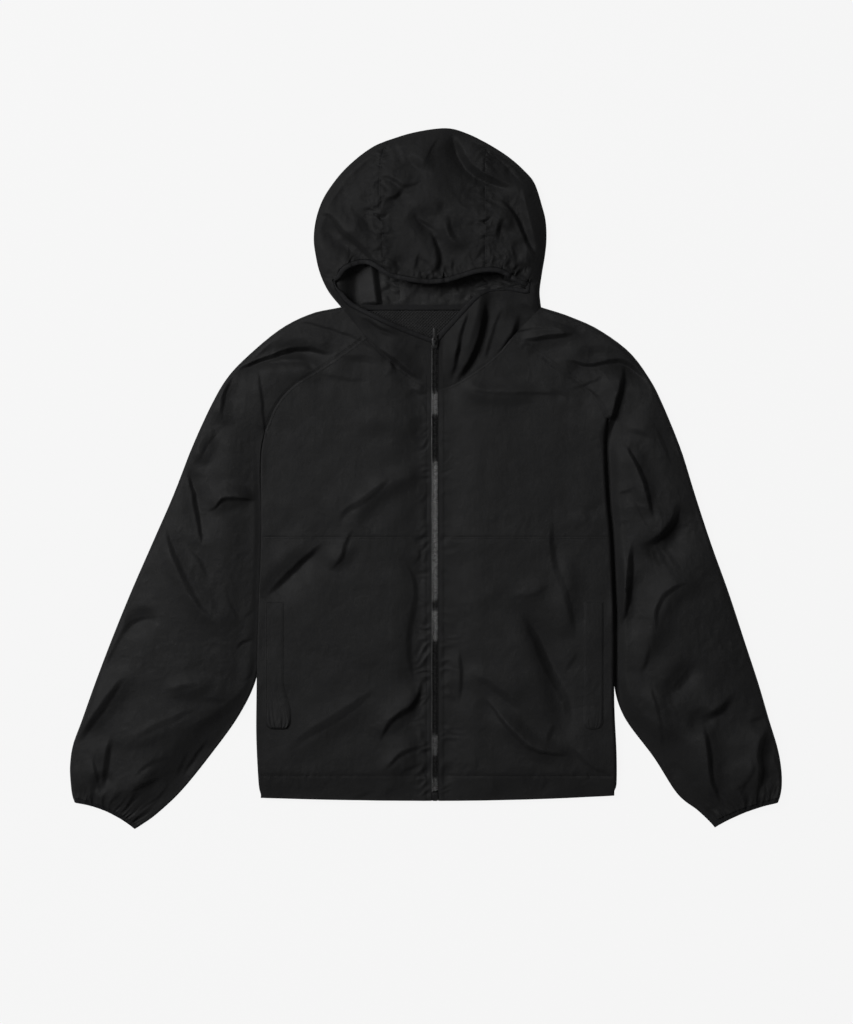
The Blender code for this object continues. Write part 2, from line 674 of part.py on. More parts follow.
def make_sleeves(shell, elastic, collection):
    """Each sleeve in two layers, its front and its back, which meet at its laid folds."""
    for side, sign in SIDES.items():
        rows = np.array([sleeve_row(side, *row) for row in sleeve_rows(side)])
        fold = len(UNDER_TUCKS) + 1 + len(UNDER_ROLLS)
        for layer, grid in (("back", rows[:, :fold]), ("front", rows[:, fold:])):
            sleeve = trimmed(grid[:-2], first_row=True, first_column=layer == "back",
                             last_column=layer == "front")
            cloth(f"sleeve_{side}_{layer}", sleeve, shell, collection, flip=sign < 0)
            cloth(f"cuff_{side}_{layer}", grid[-2:], elastic, collection, CUFF_WALL,
                  flip=sign < 0)


# ---------------------------------------------------------------- hood

def hood_top(x, y):
    inset = distance_to(OUTLINE, x, y)
    rise = 1 - (1 - np.clip(inset / HOOD_BULGE_REACH, 0, 1)) ** 2
    plateau = ZIP_HEIGHT + BODY_PUFF + HOOD_BULGE * rise + fold_heights(HOOD_FOLDS, x, y)
    return over_fold(plateau, x, y)


def seam_places(length):
    """Places along the hood's top seam, from the crown to the front edge."""
    rolls = HOOD_ROLL * np.array(ROLL_STEPS)
    return np.concatenate([[0], rolls, np.linspace(rolls[-1], length, HOOD_ROWS + 1)[1:]])


def make_hood_center(shell, collection):
    """Rows from the front edge over the crown and down to the back neck."""
    columns = np.linspace(0, 1, HOOD_COLUMNS + 1)
    crown = at_fractions(smooth_curve(CROWN), columns)
    edge = at_fractions(smooth_curve(HOOD_EDGE_CENTER), columns)
    neck = between((-HOOD_BACK_SEAM_X, NECK_Y), (HOOD_BACK_SEAM_X, NECK_Y), HOOD_COLUMNS)
    top = []
    under = []
    for column in range(HOOD_COLUMNS + 1):
        if column in (0, HOOD_COLUMNS):
            line = smooth_curve(HOOD_SEAM["right" if column == 0 else "left"])
        else:
            line = np.array([crown[column], edge[column]])
        length = lengths_along(line)[-1]
        top.append(at_lengths(line, seam_places(length)))
        length = np.linalg.norm(neck[column] - crown[column])
        places = from_both_ends(length, HOOD_ROLL * np.array(ROLL_STEPS), HOOD_BACK_ROWS - 1,
                                (0,))
        under.append(between(crown[column], neck[column], places / length))
    top = np.array(top).swapaxes(0, 1)[::-1]
    under = np.array(under).swapaxes(0, 1)
    grid = np.vstack([level(top, hood_top(top[..., 0], top[..., 1])),
                      level(under, under_fold(under[..., 0], under[..., 1]))])
    from_edge = np.linalg.norm(top - top[:1], axis=-1)
    ups_and_downs = (-1.0) ** np.arange(HOOD_COLUMNS + 1)
    ups_and_downs[[0, -1]] = 0
    grid[:len(top), :, 2] += GATHER * ups_and_downs * (1 - smooth_step(from_edge / GATHER_REACH))
    grid = trimmed(grid, last_row=True, first_column=True, last_column=True)
    cloth("hood_center", grid, shell, collection)
    return grid[0]


def hood_side_paths(side):
    """For each row: a line on the back, from the seam to the outer fold, and one on top."""
    outline = smooth_curve(HOOD_OUTLINE[side])
    along = lengths_along(outline)

    def place_of(point):
        return along[np.argmin(np.linalg.norm(outline - point, axis=1))]

    seam = smooth_curve(HOOD_SEAM[side])
    seam_points = at_lengths(seam, seam_places(lengths_along(seam)[-1]))[2:]
    dome_rows = len(seam_points)
    folds = np.concatenate([
        np.linspace(0, place_of(HOOD_EDGE[side][0]), dome_rows),
        np.linspace(place_of(CHIN_EDGE[side][0]), along[-1], CHIN_ROWS + 1)])
    fold_points = at_lengths(outline, folds)
    back_seam = between(outline[0], (SIDES[side] * HOOD_BACK_SEAM_X, NECK_Y),
                        np.linspace(CROWN_SHARE, 1, len(folds)))
    edge = smooth_curve((fold_points[dome_rows - 1], *HOOD_EDGE[side][1:]))
    chin = smooth_curve((fold_points[dome_rows], *CHIN_EDGE[side][1:]))
    neck = np.vstack([fold_points[-1], neck_points(side)[::-1]])
    return fold_points, back_seam, seam_points, edge, chin, neck


def make_hood_side(side, shell, collection):
    """Rows from the crown down the outer fold to the neck. Between the front edge and the
    chin the top layer is open: that is the face opening."""
    fold_points, back_seam, seam_points, edge, chin, neck = hood_side_paths(side)
    dome_rows = len(seam_points)
    inner = 3 + NECK_STEPS
    rolls = HOOD_ROLL * np.array(ROLL_STEPS)
    tops = []
    for row in range(dome_rows):
        line = edge if row == dome_rows - 1 else np.array([fold_points[row], seam_points[row]])
        length = lengths_along(line)[-1]
        roll_places = rolls * min(1, 0.5 * length / HOOD_ROLL)
        places = np.concatenate([roll_places,
                                 np.linspace(roll_places[-1], length, inner)[1:]])
        tops.append(at_lengths(line, places))
    length = lengths_along(chin)[-1]
    chin_row = at_lengths(chin, np.concatenate([rolls, np.linspace(rolls[-1], length, inner)[1:]]))
    shoulder = np.linalg.norm(neck[1] - neck[0])
    neck_row = np.vstack([at_lengths(neck, np.append(rolls, (rolls[-1] + shoulder) / 2)),
                          neck[1:]])
    chin_rows = [chin_row + share * (neck_row - chin_row)
                 for share in np.linspace(0, 1, CHIN_ROWS + 1)]
    tops = np.array(tops + chin_rows)
    shares = np.zeros(len(tops))
    shares[dome_rows:] = np.linspace(1, 0, CHIN_ROWS + 1)
    under = []
    for seam_point, fold_point in zip(back_seam, fold_points):
        length = np.linalg.norm(fold_point - seam_point)
        roll_places = rolls * min(1, 0.5 * length / HOOD_ROLL)
        places = np.concatenate([[0, (length - roll_places[-1]) / 2], length - roll_places[::-1]])
        under.append(between(seam_point, fold_point, places / length))
    under = np.array(under)
    x, y = tops[..., 0], tops[..., 1]
    chin_plateau = (front_plateau(x, y) + CHIN_LIFT * shares[:, None]
                    + away_from_zip(x) * fold_heights(CHIN_FOLDS, x, y) * shares[:, None])
    heights = np.where(shares[:, None] + (np.arange(len(tops)) >= dome_rows)[:, None] > 0,
                       over_fold(chin_plateau, x, y), hood_top(x, y))
    middle = level(fold_points[:, None], fold_middle(fold_points[:, 1])[:, None])
    grid = np.concatenate([level(under, under_fold(under[..., 0], under[..., 1])), middle,
                           level(tops, heights)], 1)
    grid[0] = crown_row(under.shape[1], tops.shape[1], back_seam[0], fold_points[0],
                        seam_points[0])
    grid[:dome_rows] = trimmed(grid[:dome_rows], first_row=True, last_column=True)
    grid = trimmed(grid, last_row=True, first_column=True)
    columns = grid.shape[1]
    opening = {(dome_rows - 1, column) for column in range(under.shape[1] + len(rolls), columns)}
    cloth(f"hood_side_{side}", grid, shell, collection, flip=side == "right", skipped=opening)
    first = under.shape[1] + len(rolls)
    return grid[dome_rows - 1, first:], grid[dome_rows, first:]


def crown_row(under_columns, top_columns, back_point, crown_point, seam_point):
    """The first row of a side panel, wrapped round the fold beside the centre strip."""
    under = between(back_point, crown_point, under_columns)
    top = between(crown_point, seam_point, top_columns)[1:]
    return np.vstack([level(under, under_fold(*under.T)), level(top, hood_top(*top.T))])


def make_binding(edges, elastic, collection):
    """The elastic round the face opening, from the zip round both corners and back."""
    line = np.vstack(edges)
    rows = []
    for distance in (BINDING_GAP, BINDING_GAP + BINDING_WIDTH):
        border = shifted(line[:, :2], -distance)
        border[:3, 0] = np.minimum(border[:3, 0], -BINDING_END_X)
        border[-3:, 0] = np.maximum(border[-3:, 0], BINDING_END_X)
        rows.append(level(border, line[:, 2] + BINDING_PROUD))
    cloth("hood_binding", np.array(rows), elastic, collection, BINDING_WALL, flip=True)


def make_hood(shell, elastic, collection):
    center_edge = make_hood_center(shell, collection)
    right_edge, right_chin = make_hood_side("right", shell, collection)
    left_edge, left_chin = make_hood_side("left", shell, collection)
    right_corner = (right_chin[:1] + right_edge[:1]) / 2
    left_corner = (left_chin[:1] + left_edge[:1]) / 2
    make_binding((right_chin[::-1], right_corner, right_edge[:-1], center_edge,
                  left_edge[:-1][::-1], left_corner, left_chin), elastic, collection)


# ---------------------------------------------------------------- neck trims

NECK_TRIM_WALL = 1.0
NECK_TRIM_TOP = WALL + 0.4 + NECK_TRIM_WALL
NECK_TRIM_STEPS = 8
NECK_TAPE_HALF_WIDTH = 3.4
NECK_TAPE_HALF_LENGTH = 96.0
NECK_LINING_LOW_Y = 168.0
NECK_LINING_HIGH_Y = 225.0
NECK_LINING_LOW_HALF = 46.0
NECK_LINING_HIGH_HALF = 92.0


def neck_strip(low_half, low_y, high_half, high_y):
    low = between((-low_half, low_y), (low_half, low_y), NECK_TRIM_STEPS)
    high = between((-high_half, high_y), (high_half, high_y), NECK_TRIM_STEPS)
    return level(np.array([low, high]), NECK_TRIM_TOP)


def make_neck_trims(tape, mesh_cloth, collection):
    lining = neck_strip(NECK_LINING_LOW_HALF, NECK_LINING_LOW_Y, NECK_LINING_HIGH_HALF,
                        NECK_LINING_HIGH_Y)
    cloth("neck_lining", lining, mesh_cloth, collection, NECK_TRIM_WALL)
    neck_tape = neck_strip(NECK_TAPE_HALF_LENGTH, NECK_Y - NECK_TAPE_HALF_WIDTH,
                           NECK_TAPE_HALF_LENGTH, NECK_Y + NECK_TAPE_HALF_WIDTH)
    cloth("back_neck_tape", neck_tape, tape, collection, NECK_TRIM_WALL)


# ---------------------------------------------------------------- zip

TAPE_WIDTH = 13.0
TAPE_DROP = 1.0         # of the tapes below the inside of the fronts
CHAIN_HALF = 2.9
CHAIN_PROUD = 1.0       # of the chain above the fronts
CHAIN_THICK = 2.0
CHAIN_TOP = ZIP_TOP - 3.0
TAPE_START_X = 0.2      # from the centre line to each tape
ZIP_BOX_TOP = -414.5
ZIP_BOX_HALF = 3.8
ZIP_BOX_BELOW = 3.5     # the box below and above the cloth beside it
ZIP_BOX_ABOVE = 1.6
ZIP_BOX_EDGE = 0.6


def zip_line(y):
    """Height of the cloth beside the zip."""
    return ZIP_HEIGHT + CHIN_LIFT * np.clip((y - NECK_FRONT_Y) / (ZIP_TOP - NECK_FRONT_Y), 0, 1)


def zip_strip(first_x, last_x, first_y, last_y, drop):
    y = np.array((first_y, NECK_FRONT_Y, last_y))
    rows = [level(between((first_x, place), (last_x, place), 1), zip_line(place) - drop)
            for place in y]
    return np.array(rows)


def make_zip(tape, metal, collection):
    for side, sign in SIDES.items():
        strip = zip_strip(sign * TAPE_START_X, sign * TAPE_WIDTH, ZIP_BOX_TOP + GAP, CHAIN_TOP,
                          WALL + TAPE_DROP)
        cloth(f"zip_tape_{side}", strip, tape, collection, TAPE_WALL, flip=sign < 0)
    chain = zip_strip(-CHAIN_HALF, CHAIN_HALF, ZIP_BOX_TOP + GAP, CHAIN_TOP, -CHAIN_PROUD)
    cloth("zip_chain", chain, metal, collection, CHAIN_THICK)
    box("zip_box", (-ZIP_BOX_HALF, HEM_CENTER_Y, ZIP_HEIGHT - ZIP_BOX_BELOW),
        (ZIP_BOX_HALF, ZIP_BOX_TOP, ZIP_HEIGHT + ZIP_BOX_ABOVE), metal, collection, ZIP_BOX_EDGE)


SLIDER_Y = ZIP_TOP + 0.5
PLATE = 1.2
PLATE_HALF_LENGTH = 7.5
PLATE_HALF_WIDTH = 4.4
TOP_PLATE_Z = ZIP_HEIGHT + CHIN_LIFT + CHAIN_PROUD + 0.6
POST_HALF_WIDTH = 1.1
POST_LENGTH = 7.9       # from just above the chain
CATCH_HALF_WIDTH = 1.0
CATCH_HALF_LENGTH = 3.1     # of the arch that holds the pull tab
CATCH_HEIGHT = 2.4      # of the arch above the pin
CATCH_LEG = 1.2
CATCH_CROWN = 1.1
PIN_Z = TOP_PLATE_Z + PLATE + 1.1
PIN_Y = SLIDER_Y + 1.0
PIN_HALF = 0.6
PIN_ROOM = 1.1          # half height of the arch's opening below the pin
TAB_LENGTH = 19.0
TAB_HALF_WIDTH = 2.9
EYE_LENGTH = 4.6
EYE_HALF_WIDTH = 1.4
THROUGH = 2.0           # a cutter reaches at least this far past the middle


def make_slider(metal, collection, cutters):
    """Two plates on a post, and the arch over the pull tab's pin."""
    low_y = SLIDER_Y - PLATE_HALF_LENGTH
    high_y = SLIDER_Y + PLATE_HALF_LENGTH
    slider = box("zip_slider", (-PLATE_HALF_WIDTH, low_y, TOP_PLATE_Z),
                 (PLATE_HALF_WIDTH, high_y, TOP_PLATE_Z + PLATE), metal, collection)
    low_plate_z = zip_line(low_y) - WALL - TAPE_DROP - TAPE_WALL - GAP - PLATE
    low_plate = box("slider_low_plate", (-PLATE_HALF_WIDTH, low_y, low_plate_z),
                    (PLATE_HALF_WIDTH, high_y, low_plate_z + PLATE), metal, cutters)
    post_y = CHAIN_TOP + 2 * GAP
    post = box("slider_post", (-POST_HALF_WIDTH, post_y, low_plate_z + PLATE / 2),
               (POST_HALF_WIDTH, post_y + POST_LENGTH, TOP_PLATE_Z + PLATE / 2), metal, cutters)
    arch = box("slider_arch", (-CATCH_HALF_WIDTH, PIN_Y - CATCH_HALF_LENGTH,
                               TOP_PLATE_Z + PLATE / 2),
               (CATCH_HALF_WIDTH, PIN_Y + CATCH_HALF_LENGTH, PIN_Z + CATCH_HEIGHT), metal,
               cutters)
    inside = CATCH_HALF_LENGTH - CATCH_LEG
    opening = box("slider_arch_opening", (-THROUGH, PIN_Y - inside, PIN_Z - PIN_ROOM),
                  (THROUGH, PIN_Y + inside, PIN_Z + CATCH_HEIGHT - CATCH_CROWN), metal, cutters)
    combine(arch, opening, "DIFFERENCE")
    for piece in (post, low_plate, arch):
        combine(slider, piece, "UNION")


def make_pull_tab(metal, collection, cutters):
    """A plate with an eye: the bar at the eye's end is the pin, on the joint's axis."""
    tab = box("pull_tab", (-TAB_HALF_WIDTH, PIN_Y - PIN_HALF, PIN_Z - PIN_HALF),
              (TAB_HALF_WIDTH, PIN_Y + TAB_LENGTH, PIN_Z + PIN_HALF), metal, collection)
    eye = box("pull_tab_eye", (-EYE_HALF_WIDTH, PIN_Y + PIN_HALF, PIN_Z - THROUGH),
              (EYE_HALF_WIDTH, PIN_Y + EYE_LENGTH, PIN_Z + THROUGH), metal, cutters)
    combine(tab, eye, "DIFFERENCE")


# ---------------------------------------------------------------- jacket

def clear():
    for thing in list(bpy.data.objects):
        bpy.data.objects.remove(thing)


def collected(name):
    made = bpy.data.collections.new(name)
    bpy.context.scene.collection.children.link(made)
    return made


def main():
    clear()
    jacket = collected("hooded_windbreaker")
    cutters = collected("cutters")
    shell = material("black nylon", (0.013, 0.013, 0.014), 0.55)
    elastic = material("black elastic", (0.010, 0.010, 0.011), 0.7)
    mesh_cloth = material("black mesh lining", (0.012, 0.012, 0.013), 0.8)
    tape = material("black tape", (0.012, 0.012, 0.013), 0.65)
    metal = material("black zip", (0.02, 0.02, 0.021), 0.35)
    make_back(shell, jacket)
    make_fronts(shell, jacket)
    make_sleeves(shell, elastic, jacket)
    make_hood(shell, elastic, jacket)
    make_neck_trims(tape, mesh_cloth, jacket)
    make_zip(tape, metal, jacket)
    make_slider(metal, jacket, cutters)
    make_pull_tab(metal, jacket, cutters)


main()
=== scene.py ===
"""Looks of the hooded windbreaker jacket, laid flat on its back with the zip closed.

Every soft piece follows the form of the node that it stands for, on a finer grid, with the
creases, gathers and seams of light nylon added to its heights. Sizes are in millimetres in
the part's frame: the centre line is x = 0, +X is the wearer's left and +Y the hood.
"""

from collections import namedtuple
from functools import cache

import bmesh
import bpy
import numpy as np
from mathutils import Matrix, Vector
from mathutils.bvhtree import BVHTree


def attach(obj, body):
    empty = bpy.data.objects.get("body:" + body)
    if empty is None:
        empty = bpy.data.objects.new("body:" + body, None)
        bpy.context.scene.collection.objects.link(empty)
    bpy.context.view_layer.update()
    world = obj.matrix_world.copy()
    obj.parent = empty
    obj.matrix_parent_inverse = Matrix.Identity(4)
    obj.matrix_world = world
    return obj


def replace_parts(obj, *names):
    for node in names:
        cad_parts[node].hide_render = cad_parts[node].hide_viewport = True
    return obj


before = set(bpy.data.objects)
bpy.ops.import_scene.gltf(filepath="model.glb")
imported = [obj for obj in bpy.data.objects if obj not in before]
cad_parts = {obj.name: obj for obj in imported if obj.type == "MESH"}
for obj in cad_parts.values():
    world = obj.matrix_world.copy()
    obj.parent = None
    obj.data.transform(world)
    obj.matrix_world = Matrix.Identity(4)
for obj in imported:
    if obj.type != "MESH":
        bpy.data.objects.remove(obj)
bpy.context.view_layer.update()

MM = 0.001

# Sizes that the pieces share with the solids
WALL = 1.2
BINDING_WALL = 2.2
CUFF_WALL = 1.5
TAPE_WALL = 0.8
NECK_TRIM_WALL = 1.0
GAP = 0.3               # between pieces that are sewn together
ZIP_TOP = 181.0
NECK_Y = 229.6
NECK_FRONT_Y = 120.0
CHEST_SEAM_Y = -76.0
HEM_CENTER_Y = -426.0
ZIP_HALF_OPENING = 4.5  # from the centre line to each front's edge
ZIP_HEIGHT = 9.0        # of the fronts' edges over the surface
BODY_PUFF = 5.0         # how much higher the fronts lie away from the zip
HEM_RISE = 45.0         # they come up to that height over this length
FLAT_BY_ZIP = 15.0      # level stretch on each side of the centre line
PUFF_REACH = 45.0
FOLD_REACH = 20.0       # the folds come in over this distance past it
FOLD_FULL = 0.4         # a fold is full up to this share of its half length
FOLD_FADE = 0.8         # and fades out over this one
CHIN_LIFT = 5.0         # of the chin's free edge over the fronts
SIDE_SEAM_HEIGHT = {"right": 9.5, "left": 8.0}
SIDE_SEAM_RISE = {"right": 3.0, "left": 0.0}    # beside the sleeve
SLEEVE_LEAVES_Y = -285.0    # where the sleeves turn away from the body
SIDE_SEAM_EASE = 40.0
SIDE_ROLL = {"right": 2.2, "left": 5.0}
BACK_EDGE_HEIGHT = {"right": 7.4, "left": 6.2}
BACK_EDGE_INSET = 1.6   # the back ends this far inside the side seams
BACK_ROLL = 15.0
TUCK = 2.0              # how far a sleeve's inner edge lies under the body
TUCK_START = 72.0       # from the armpit, along the sleeve
TUCK_REACH = 87.0
TUCK_HEIGHT = 2.0
TUCK_TOP = {"right": 12.0, "left": 4.4}
TUCK_ROLL = {"right": 1.6, "left": 3.5}
UNDER_RISE = 2.5        # radius of the inner edge's underside, as a share of its height
PUFF_POWER = 0.8        # below 1, a sleeve's section is fuller than a sine
ARMPIT_HEIGHT = 5.6
ARMPIT_REACH = 87.0
ARMPIT_EASE = 16.0
CLOSING = 28.0          # over which a sleeve closes below the armpit
SLEEVE_RISE = {"right": 10.0, "left": 15.0}
SLEEVE_ROLL = 5.0
SLEEVE_FOLD_HEIGHT = 2.0
HOOD_ROLL = 14.0
HOOD_FOLD_HEIGHT = 8.0
HOOD_START = 45.0       # over which the sleeve's fold becomes the hood's
HOOD_BULGE = 14.0
HOOD_BULGE_REACH = 75.0
HOOD_BACK_SEAM_X = 45.0     # half width of the centre strip at the back neck
CROWN_SHARE = 0.02      # where the back seam starts on its way to the neck
BINDING_WIDTH = 6.4
BINDING_GAP = 0.4
BINDING_PROUD = 0.5
BINDING_END_X = 2.6
CUFF_WIDTH = 8.0
CUFF_GAP = 0.05
CUFF_BOW = {"right": 6.5, "left": 4.0}
CUFF_BOW_REACH = 60.0
SEAM_TRIM = 0.001       # so that neighbours' borders aren't the same points

SIDES = {"right": -1, "left": 1}

Station = namedtuple("Station", "outer_x outer_y inner_x inner_y puff")
Fold = namedtuple("Fold", "x0 y0 x1 y1 x2 y2 width height")
Band = namedtuple("Band", "width slope places")     # a crease's steep side, in plan
Seam = namedtuple("Seam", "groove pucker pitch reach seed")


def rows_of(kind, *rows):
    """A table's rows, under the names of its columns."""
    return tuple(kind(*row) for row in rows)


NECK_FRONT = {      # front neck seam, from the zip to the raglan seam
    "right": ((-4.5, 119), (-31, 136), (-60, 158), (-92, 190)),
    "left": ((4.5, 119), (28, 128), (57, 146), (82, 166), (102, 189)),
}
RAGLAN_FRONT = {    # from the neck seam to the armpit
    "right": ((-92, 190), (-120, 169), (-156, 145), (-189, 124), (-211, 98), (-225, 66)),
    "left": ((102, 189), (130, 172), (161, 150), (193, 127), (215, 107), (229, 80)),
}
RAGLAN_BACK = {
    "right": ((-81, NECK_Y), (-110, 203), (-146, 171), (-182, 138), (-209, 104), (-225, 66)),
    "left": ((81, NECK_Y), (113, 203), (149, 172), (185, 141), (212, 112), (229, 80)),
}
SIDE = {            # side seam, from the armpit to the hem
    "right": ((-225, 66), (-231, 27), (-231, -80), (-235, -189), (-237, -293), (-237, -346),
              (-234, -404), (-231, -422)),
    "left": ((229, 80), (226, 40), (229, -27), (234, -80), (238, -189), (238, -293), (241, -362),
             (241, -404), (238, -419)),
}
ARMPIT_Y = {side: line[0][1] for side, line in SIDE.items()}
SIDE_HEM_Y = {side: line[-1][1] for side, line in SIDE.items()}

SHOULDER = {        # outer fold of each sleeve, from the neck to armpit level
    "right": ((-125, NECK_Y), (-164, 221), (-203, 202), (-243, 170), (-275, 137), (-298, 98)),
    "left": ((141, NECK_Y), (177, 218), (217, 200), (258, 170), (286, 133), (304, 97)),
}
SLEEVE = {          # sections of each sleeve, from armpit level to the cuff
    "right": rows_of(
        Station,
        (-298, 98, -225, 66, 5), (-323, 43, -230, 22, 6),
        (-348, -21, -229, -35, 7), (-376, -85, -230, -95, 8),
        (-404, -149, -232, -155, 8), (-430, -213, -234, -213, 8),
        (-452, -271, -237, -262, 8), (-469, -319, -260, -312, 8),
        (-481, -352, -298, -365, 7), (-485, -380, -337, -413, 6),
        (-484, -404, -370, -444, 3), (-482, -419, -391, -459, -2),
        (-479, -428, -399, -464, -5)),
    "left": rows_of(
        Station,
        (304, 97, 229, 80, 5), (327, 40, 224, 26, 6),
        (346, -21, 227, -32, 7), (367, -85, 231, -92, 8),
        (390, -149, 234, -152, 8), (411, -213, 236, -213, 8),
        (430, -271, 237, -266, 8), (444, -319, 251, -314, 8),
        (455, -355, 291, -369, 7), (460, -382, 322, -417, 6),
        (461, -404, 349, -439, 3), (459, -419, 365, -454, -2),
        (456, -428, 372, -462, -5)),
}

HOOD_OUTLINE = {    # outer fold of the hood, from its centre strip down to the neck
    "right": ((-65, 450), (-81, 443), (-100, 430), (-121, 411), (-138, 390), (-150, 370),
              (-158, 346), (-161, 322), (-159, 301), (-153, 275), (-142, 251), (-125, NECK_Y)),
    "left": ((69, 447), (84, 438), (100, 427), (117, 412), (132, 394), (142, 364), (147, 343),
             (148, 319), (146, 298), (142, 274), (139, 250), (141, NECK_Y)),
}
CROWN = ((-65, 450), (-33, 460), (0, 466), (23, 466), (47, 458), (69, 447))
HOOD_SEAM = {       # top seam of the centre strip, from the crown to the hood's front edge
    "right": ((-65, 450), (-72, 420), (-74, 388), (-73, 356), (-70, 326), (-69, 281)),
    "left": ((69, 447), (66, 419), (66, 392), (66, 366), (66, 339), (66, 281)),
}
HOOD_EDGE_CENTER = ((-69, 281), (-55, 273), (-16, 266), (12, 267), (33, 273), (53, 279),
                    (66, 281))
HOOD_EDGE = {       # front edge of each side panel, from the outer fold to the seam
    "right": ((-150, 268), (-133, 266), (-126, 279), (-110, 289), (-89, 292), (-69, 281)),
    "left": ((141, 264), (126, 262), (112, 266), (93, 277), (80, 281), (66, 281)),
}
CHIN_EDGE = {       # free edge of the chin, from the outer fold to the zip
    "right": ((-144, 255), (-131, 250), (-119, 234), (-100, 222), (-65, 205), (-36, 193),
              (-4.5, ZIP_TOP)),
    "left": ((139, 250), (122, 246), (97, 250), (77, 249), (62, 243), (45, 227), (28, 208),
             (13, 192), (4.5, ZIP_TOP)),
}

BODY_FOLDS = rows_of(
    Fold,
    (-149, -84, -197, -124, -223, -153, 14, -5),
    (-105, -80, -122, -98, -138, -117, 12, 3),
    (-17, 5, -71, -12, -125, -73, 13, 5),
    (-17, -277, -45, -310, -68, -334, 13, 4),
    (-17, -355, -44, -370, -70, -386, 13, 4),
    (-70, -279, -135, -325, -197, -364, 16, 3),
    (109, -157, 154, -254, 172, -338, 14, -6),
    (67, -295, 116, -344, 168, -367, 13, 6),
    (44, -254, 75, -275, 109, -302, 14, 2),
    (46, 121, 80, 113, 157, 117, 13, 5),
    (109, -157, 127, -148, 148, -138, 12, 1),
    (173, -98, 175, -150, 170, -205, 14, 4),
    (-20, 60, -60, 80, -120, 70, 18, 3),
)
SLEEVE_FOLDS = rows_of(
    Fold,
    (-267, 144, -203, 170, -138, 162, 13, -7),
    (-240, 138, -196, 150, -156, 138, 12, 4),
    (-271, 141, -284, 106, -278, 76, 13, 5),
    (-295, 62, -306, 42, -313, 23, 13, 5),
    (-327, 12, -321, -30, -309, -86, 14, -6),
    (-290, -39, -272, -24, -235, -27, 13, 6),
    (-358, -63, -326, -140, -261, -211, 15, 6),
    (-366, -181, -392, -186, -411, -205, 13, -5),
    (-407, -257, -436, -296, -475, -345, 16, 6),
    (-356, -279, -325, -275, -295, -265, 13, 5),
    (-400, -344, -362, -332, -322, -314, 14, 4),
    (-455, -369, -440, -405, -430, -342, 11, -4),
    (176, 156, 240, 160, 290, 124, 13, -7),
    (115, 184, 150, 190, 186, 197, 12, 4),
    (254, 44, 272, 4, 287, -51, 14, 6),
    (322, -31, 309, -92, 255, -73, 15, -6),
    (263, -105, 252, -150, 243, -200, 13, 5),
    (335, -134, 296, -175, 270, -257, 15, 6),
    (344, -241, 326, -266, 306, -289, 14, -5),
    (286, -273, 299, -315, 306, -363, 14, 5),
    (396, -283, 350, -320, 376, -318, 14, -4),
    (354, -325, 368, -372, 363, -422, 12, 4),
    (444, -329, 428, -362, 431, -422, 12, 5),
)
HOOD_FOLDS = rows_of(
    Fold,
    (29, 458, 48, 416, 112, 387, 13, -6),
    (114, 388, 120, 350, 134, 298, 12, 5),
    (-48, 436, -104, 415, -142, 359, 15, -5),
    (-156, 347, -120, 313, -82, 289, 13, -6),
    (-25, 351, -3, 330, 2, 283, 13, -6),
    (16, 350, 24, 325, 36, 307, 13, 5),
    (77, 332, 92, 345, 100, 311, 14, 4),
)
CHIN_FOLDS = rows_of(
    Fold,
    (62, 246, 50, 202, 23, 130, 9, 6),
    (72, 240, 58, 182, 30, 128, 8, -5),
    (98, 249, 84, 190, 73, 160, 10, 6),
)


# ---------------------------------------------------------------- curves and heights

OUTLINE_STEPS = 4
ARC_POINTS = 13


def smooth_curve(points, steps=10):
    """A Catmull-Rom curve through the points, with the given steps between each two."""
    knots = np.array(points, float)
    knots = np.vstack([2 * knots[0] - knots[1], knots, 2 * knots[-1] - knots[-2]])
    curve = []
    for before, start, end, after in zip(knots, knots[1:], knots[2:], knots[3:]):
        for t in np.arange(steps) / steps:
            curve.append(0.5 * (2 * start + (end - before) * t
                                + (2 * before - 5 * start + 4 * end - after) * t ** 2
                                + (3 * start - before - 3 * end + after) * t ** 3))
    curve.append(knots[-2])
    return np.array(curve)


def lengths_along(line):
    return np.concatenate([[0], np.cumsum(np.linalg.norm(np.diff(line, axis=0), axis=1))])


def length_of(line):
    return lengths_along(line)[-1]


def at_lengths(line, lengths):
    """Points at the given lengths along a polyline."""
    along = lengths_along(line)
    return np.stack([np.interp(lengths, along, line[:, axis])
                     for axis in range(line.shape[1])], -1)


def at_fractions(line, fractions):
    return at_lengths(line, np.asarray(fractions, float) * length_of(line))


def distance_to(line, x, y):
    """Distance in plan from each place to a polyline."""
    places = np.stack([x, y], -1)
    nearest = np.full(np.shape(x), np.inf)
    for start, end in zip(line, line[1:]):
        run = end - start
        t = np.clip((places - start) @ run / (run @ run), 0, 1)
        nearest = np.minimum(nearest, np.linalg.norm(places - start - t[..., None] * run, axis=-1))
    return nearest


def smooth_step(value):
    value = np.clip(value, 0, 1)
    return value * value * (3 - 2 * value)


def roll(inset, radius):
    """Rise of a soft fold, from 0 on its outline to 1 at its radius inside."""
    return np.sqrt(1 - (1 - np.clip(inset / radius, 0, 1)) ** 2)


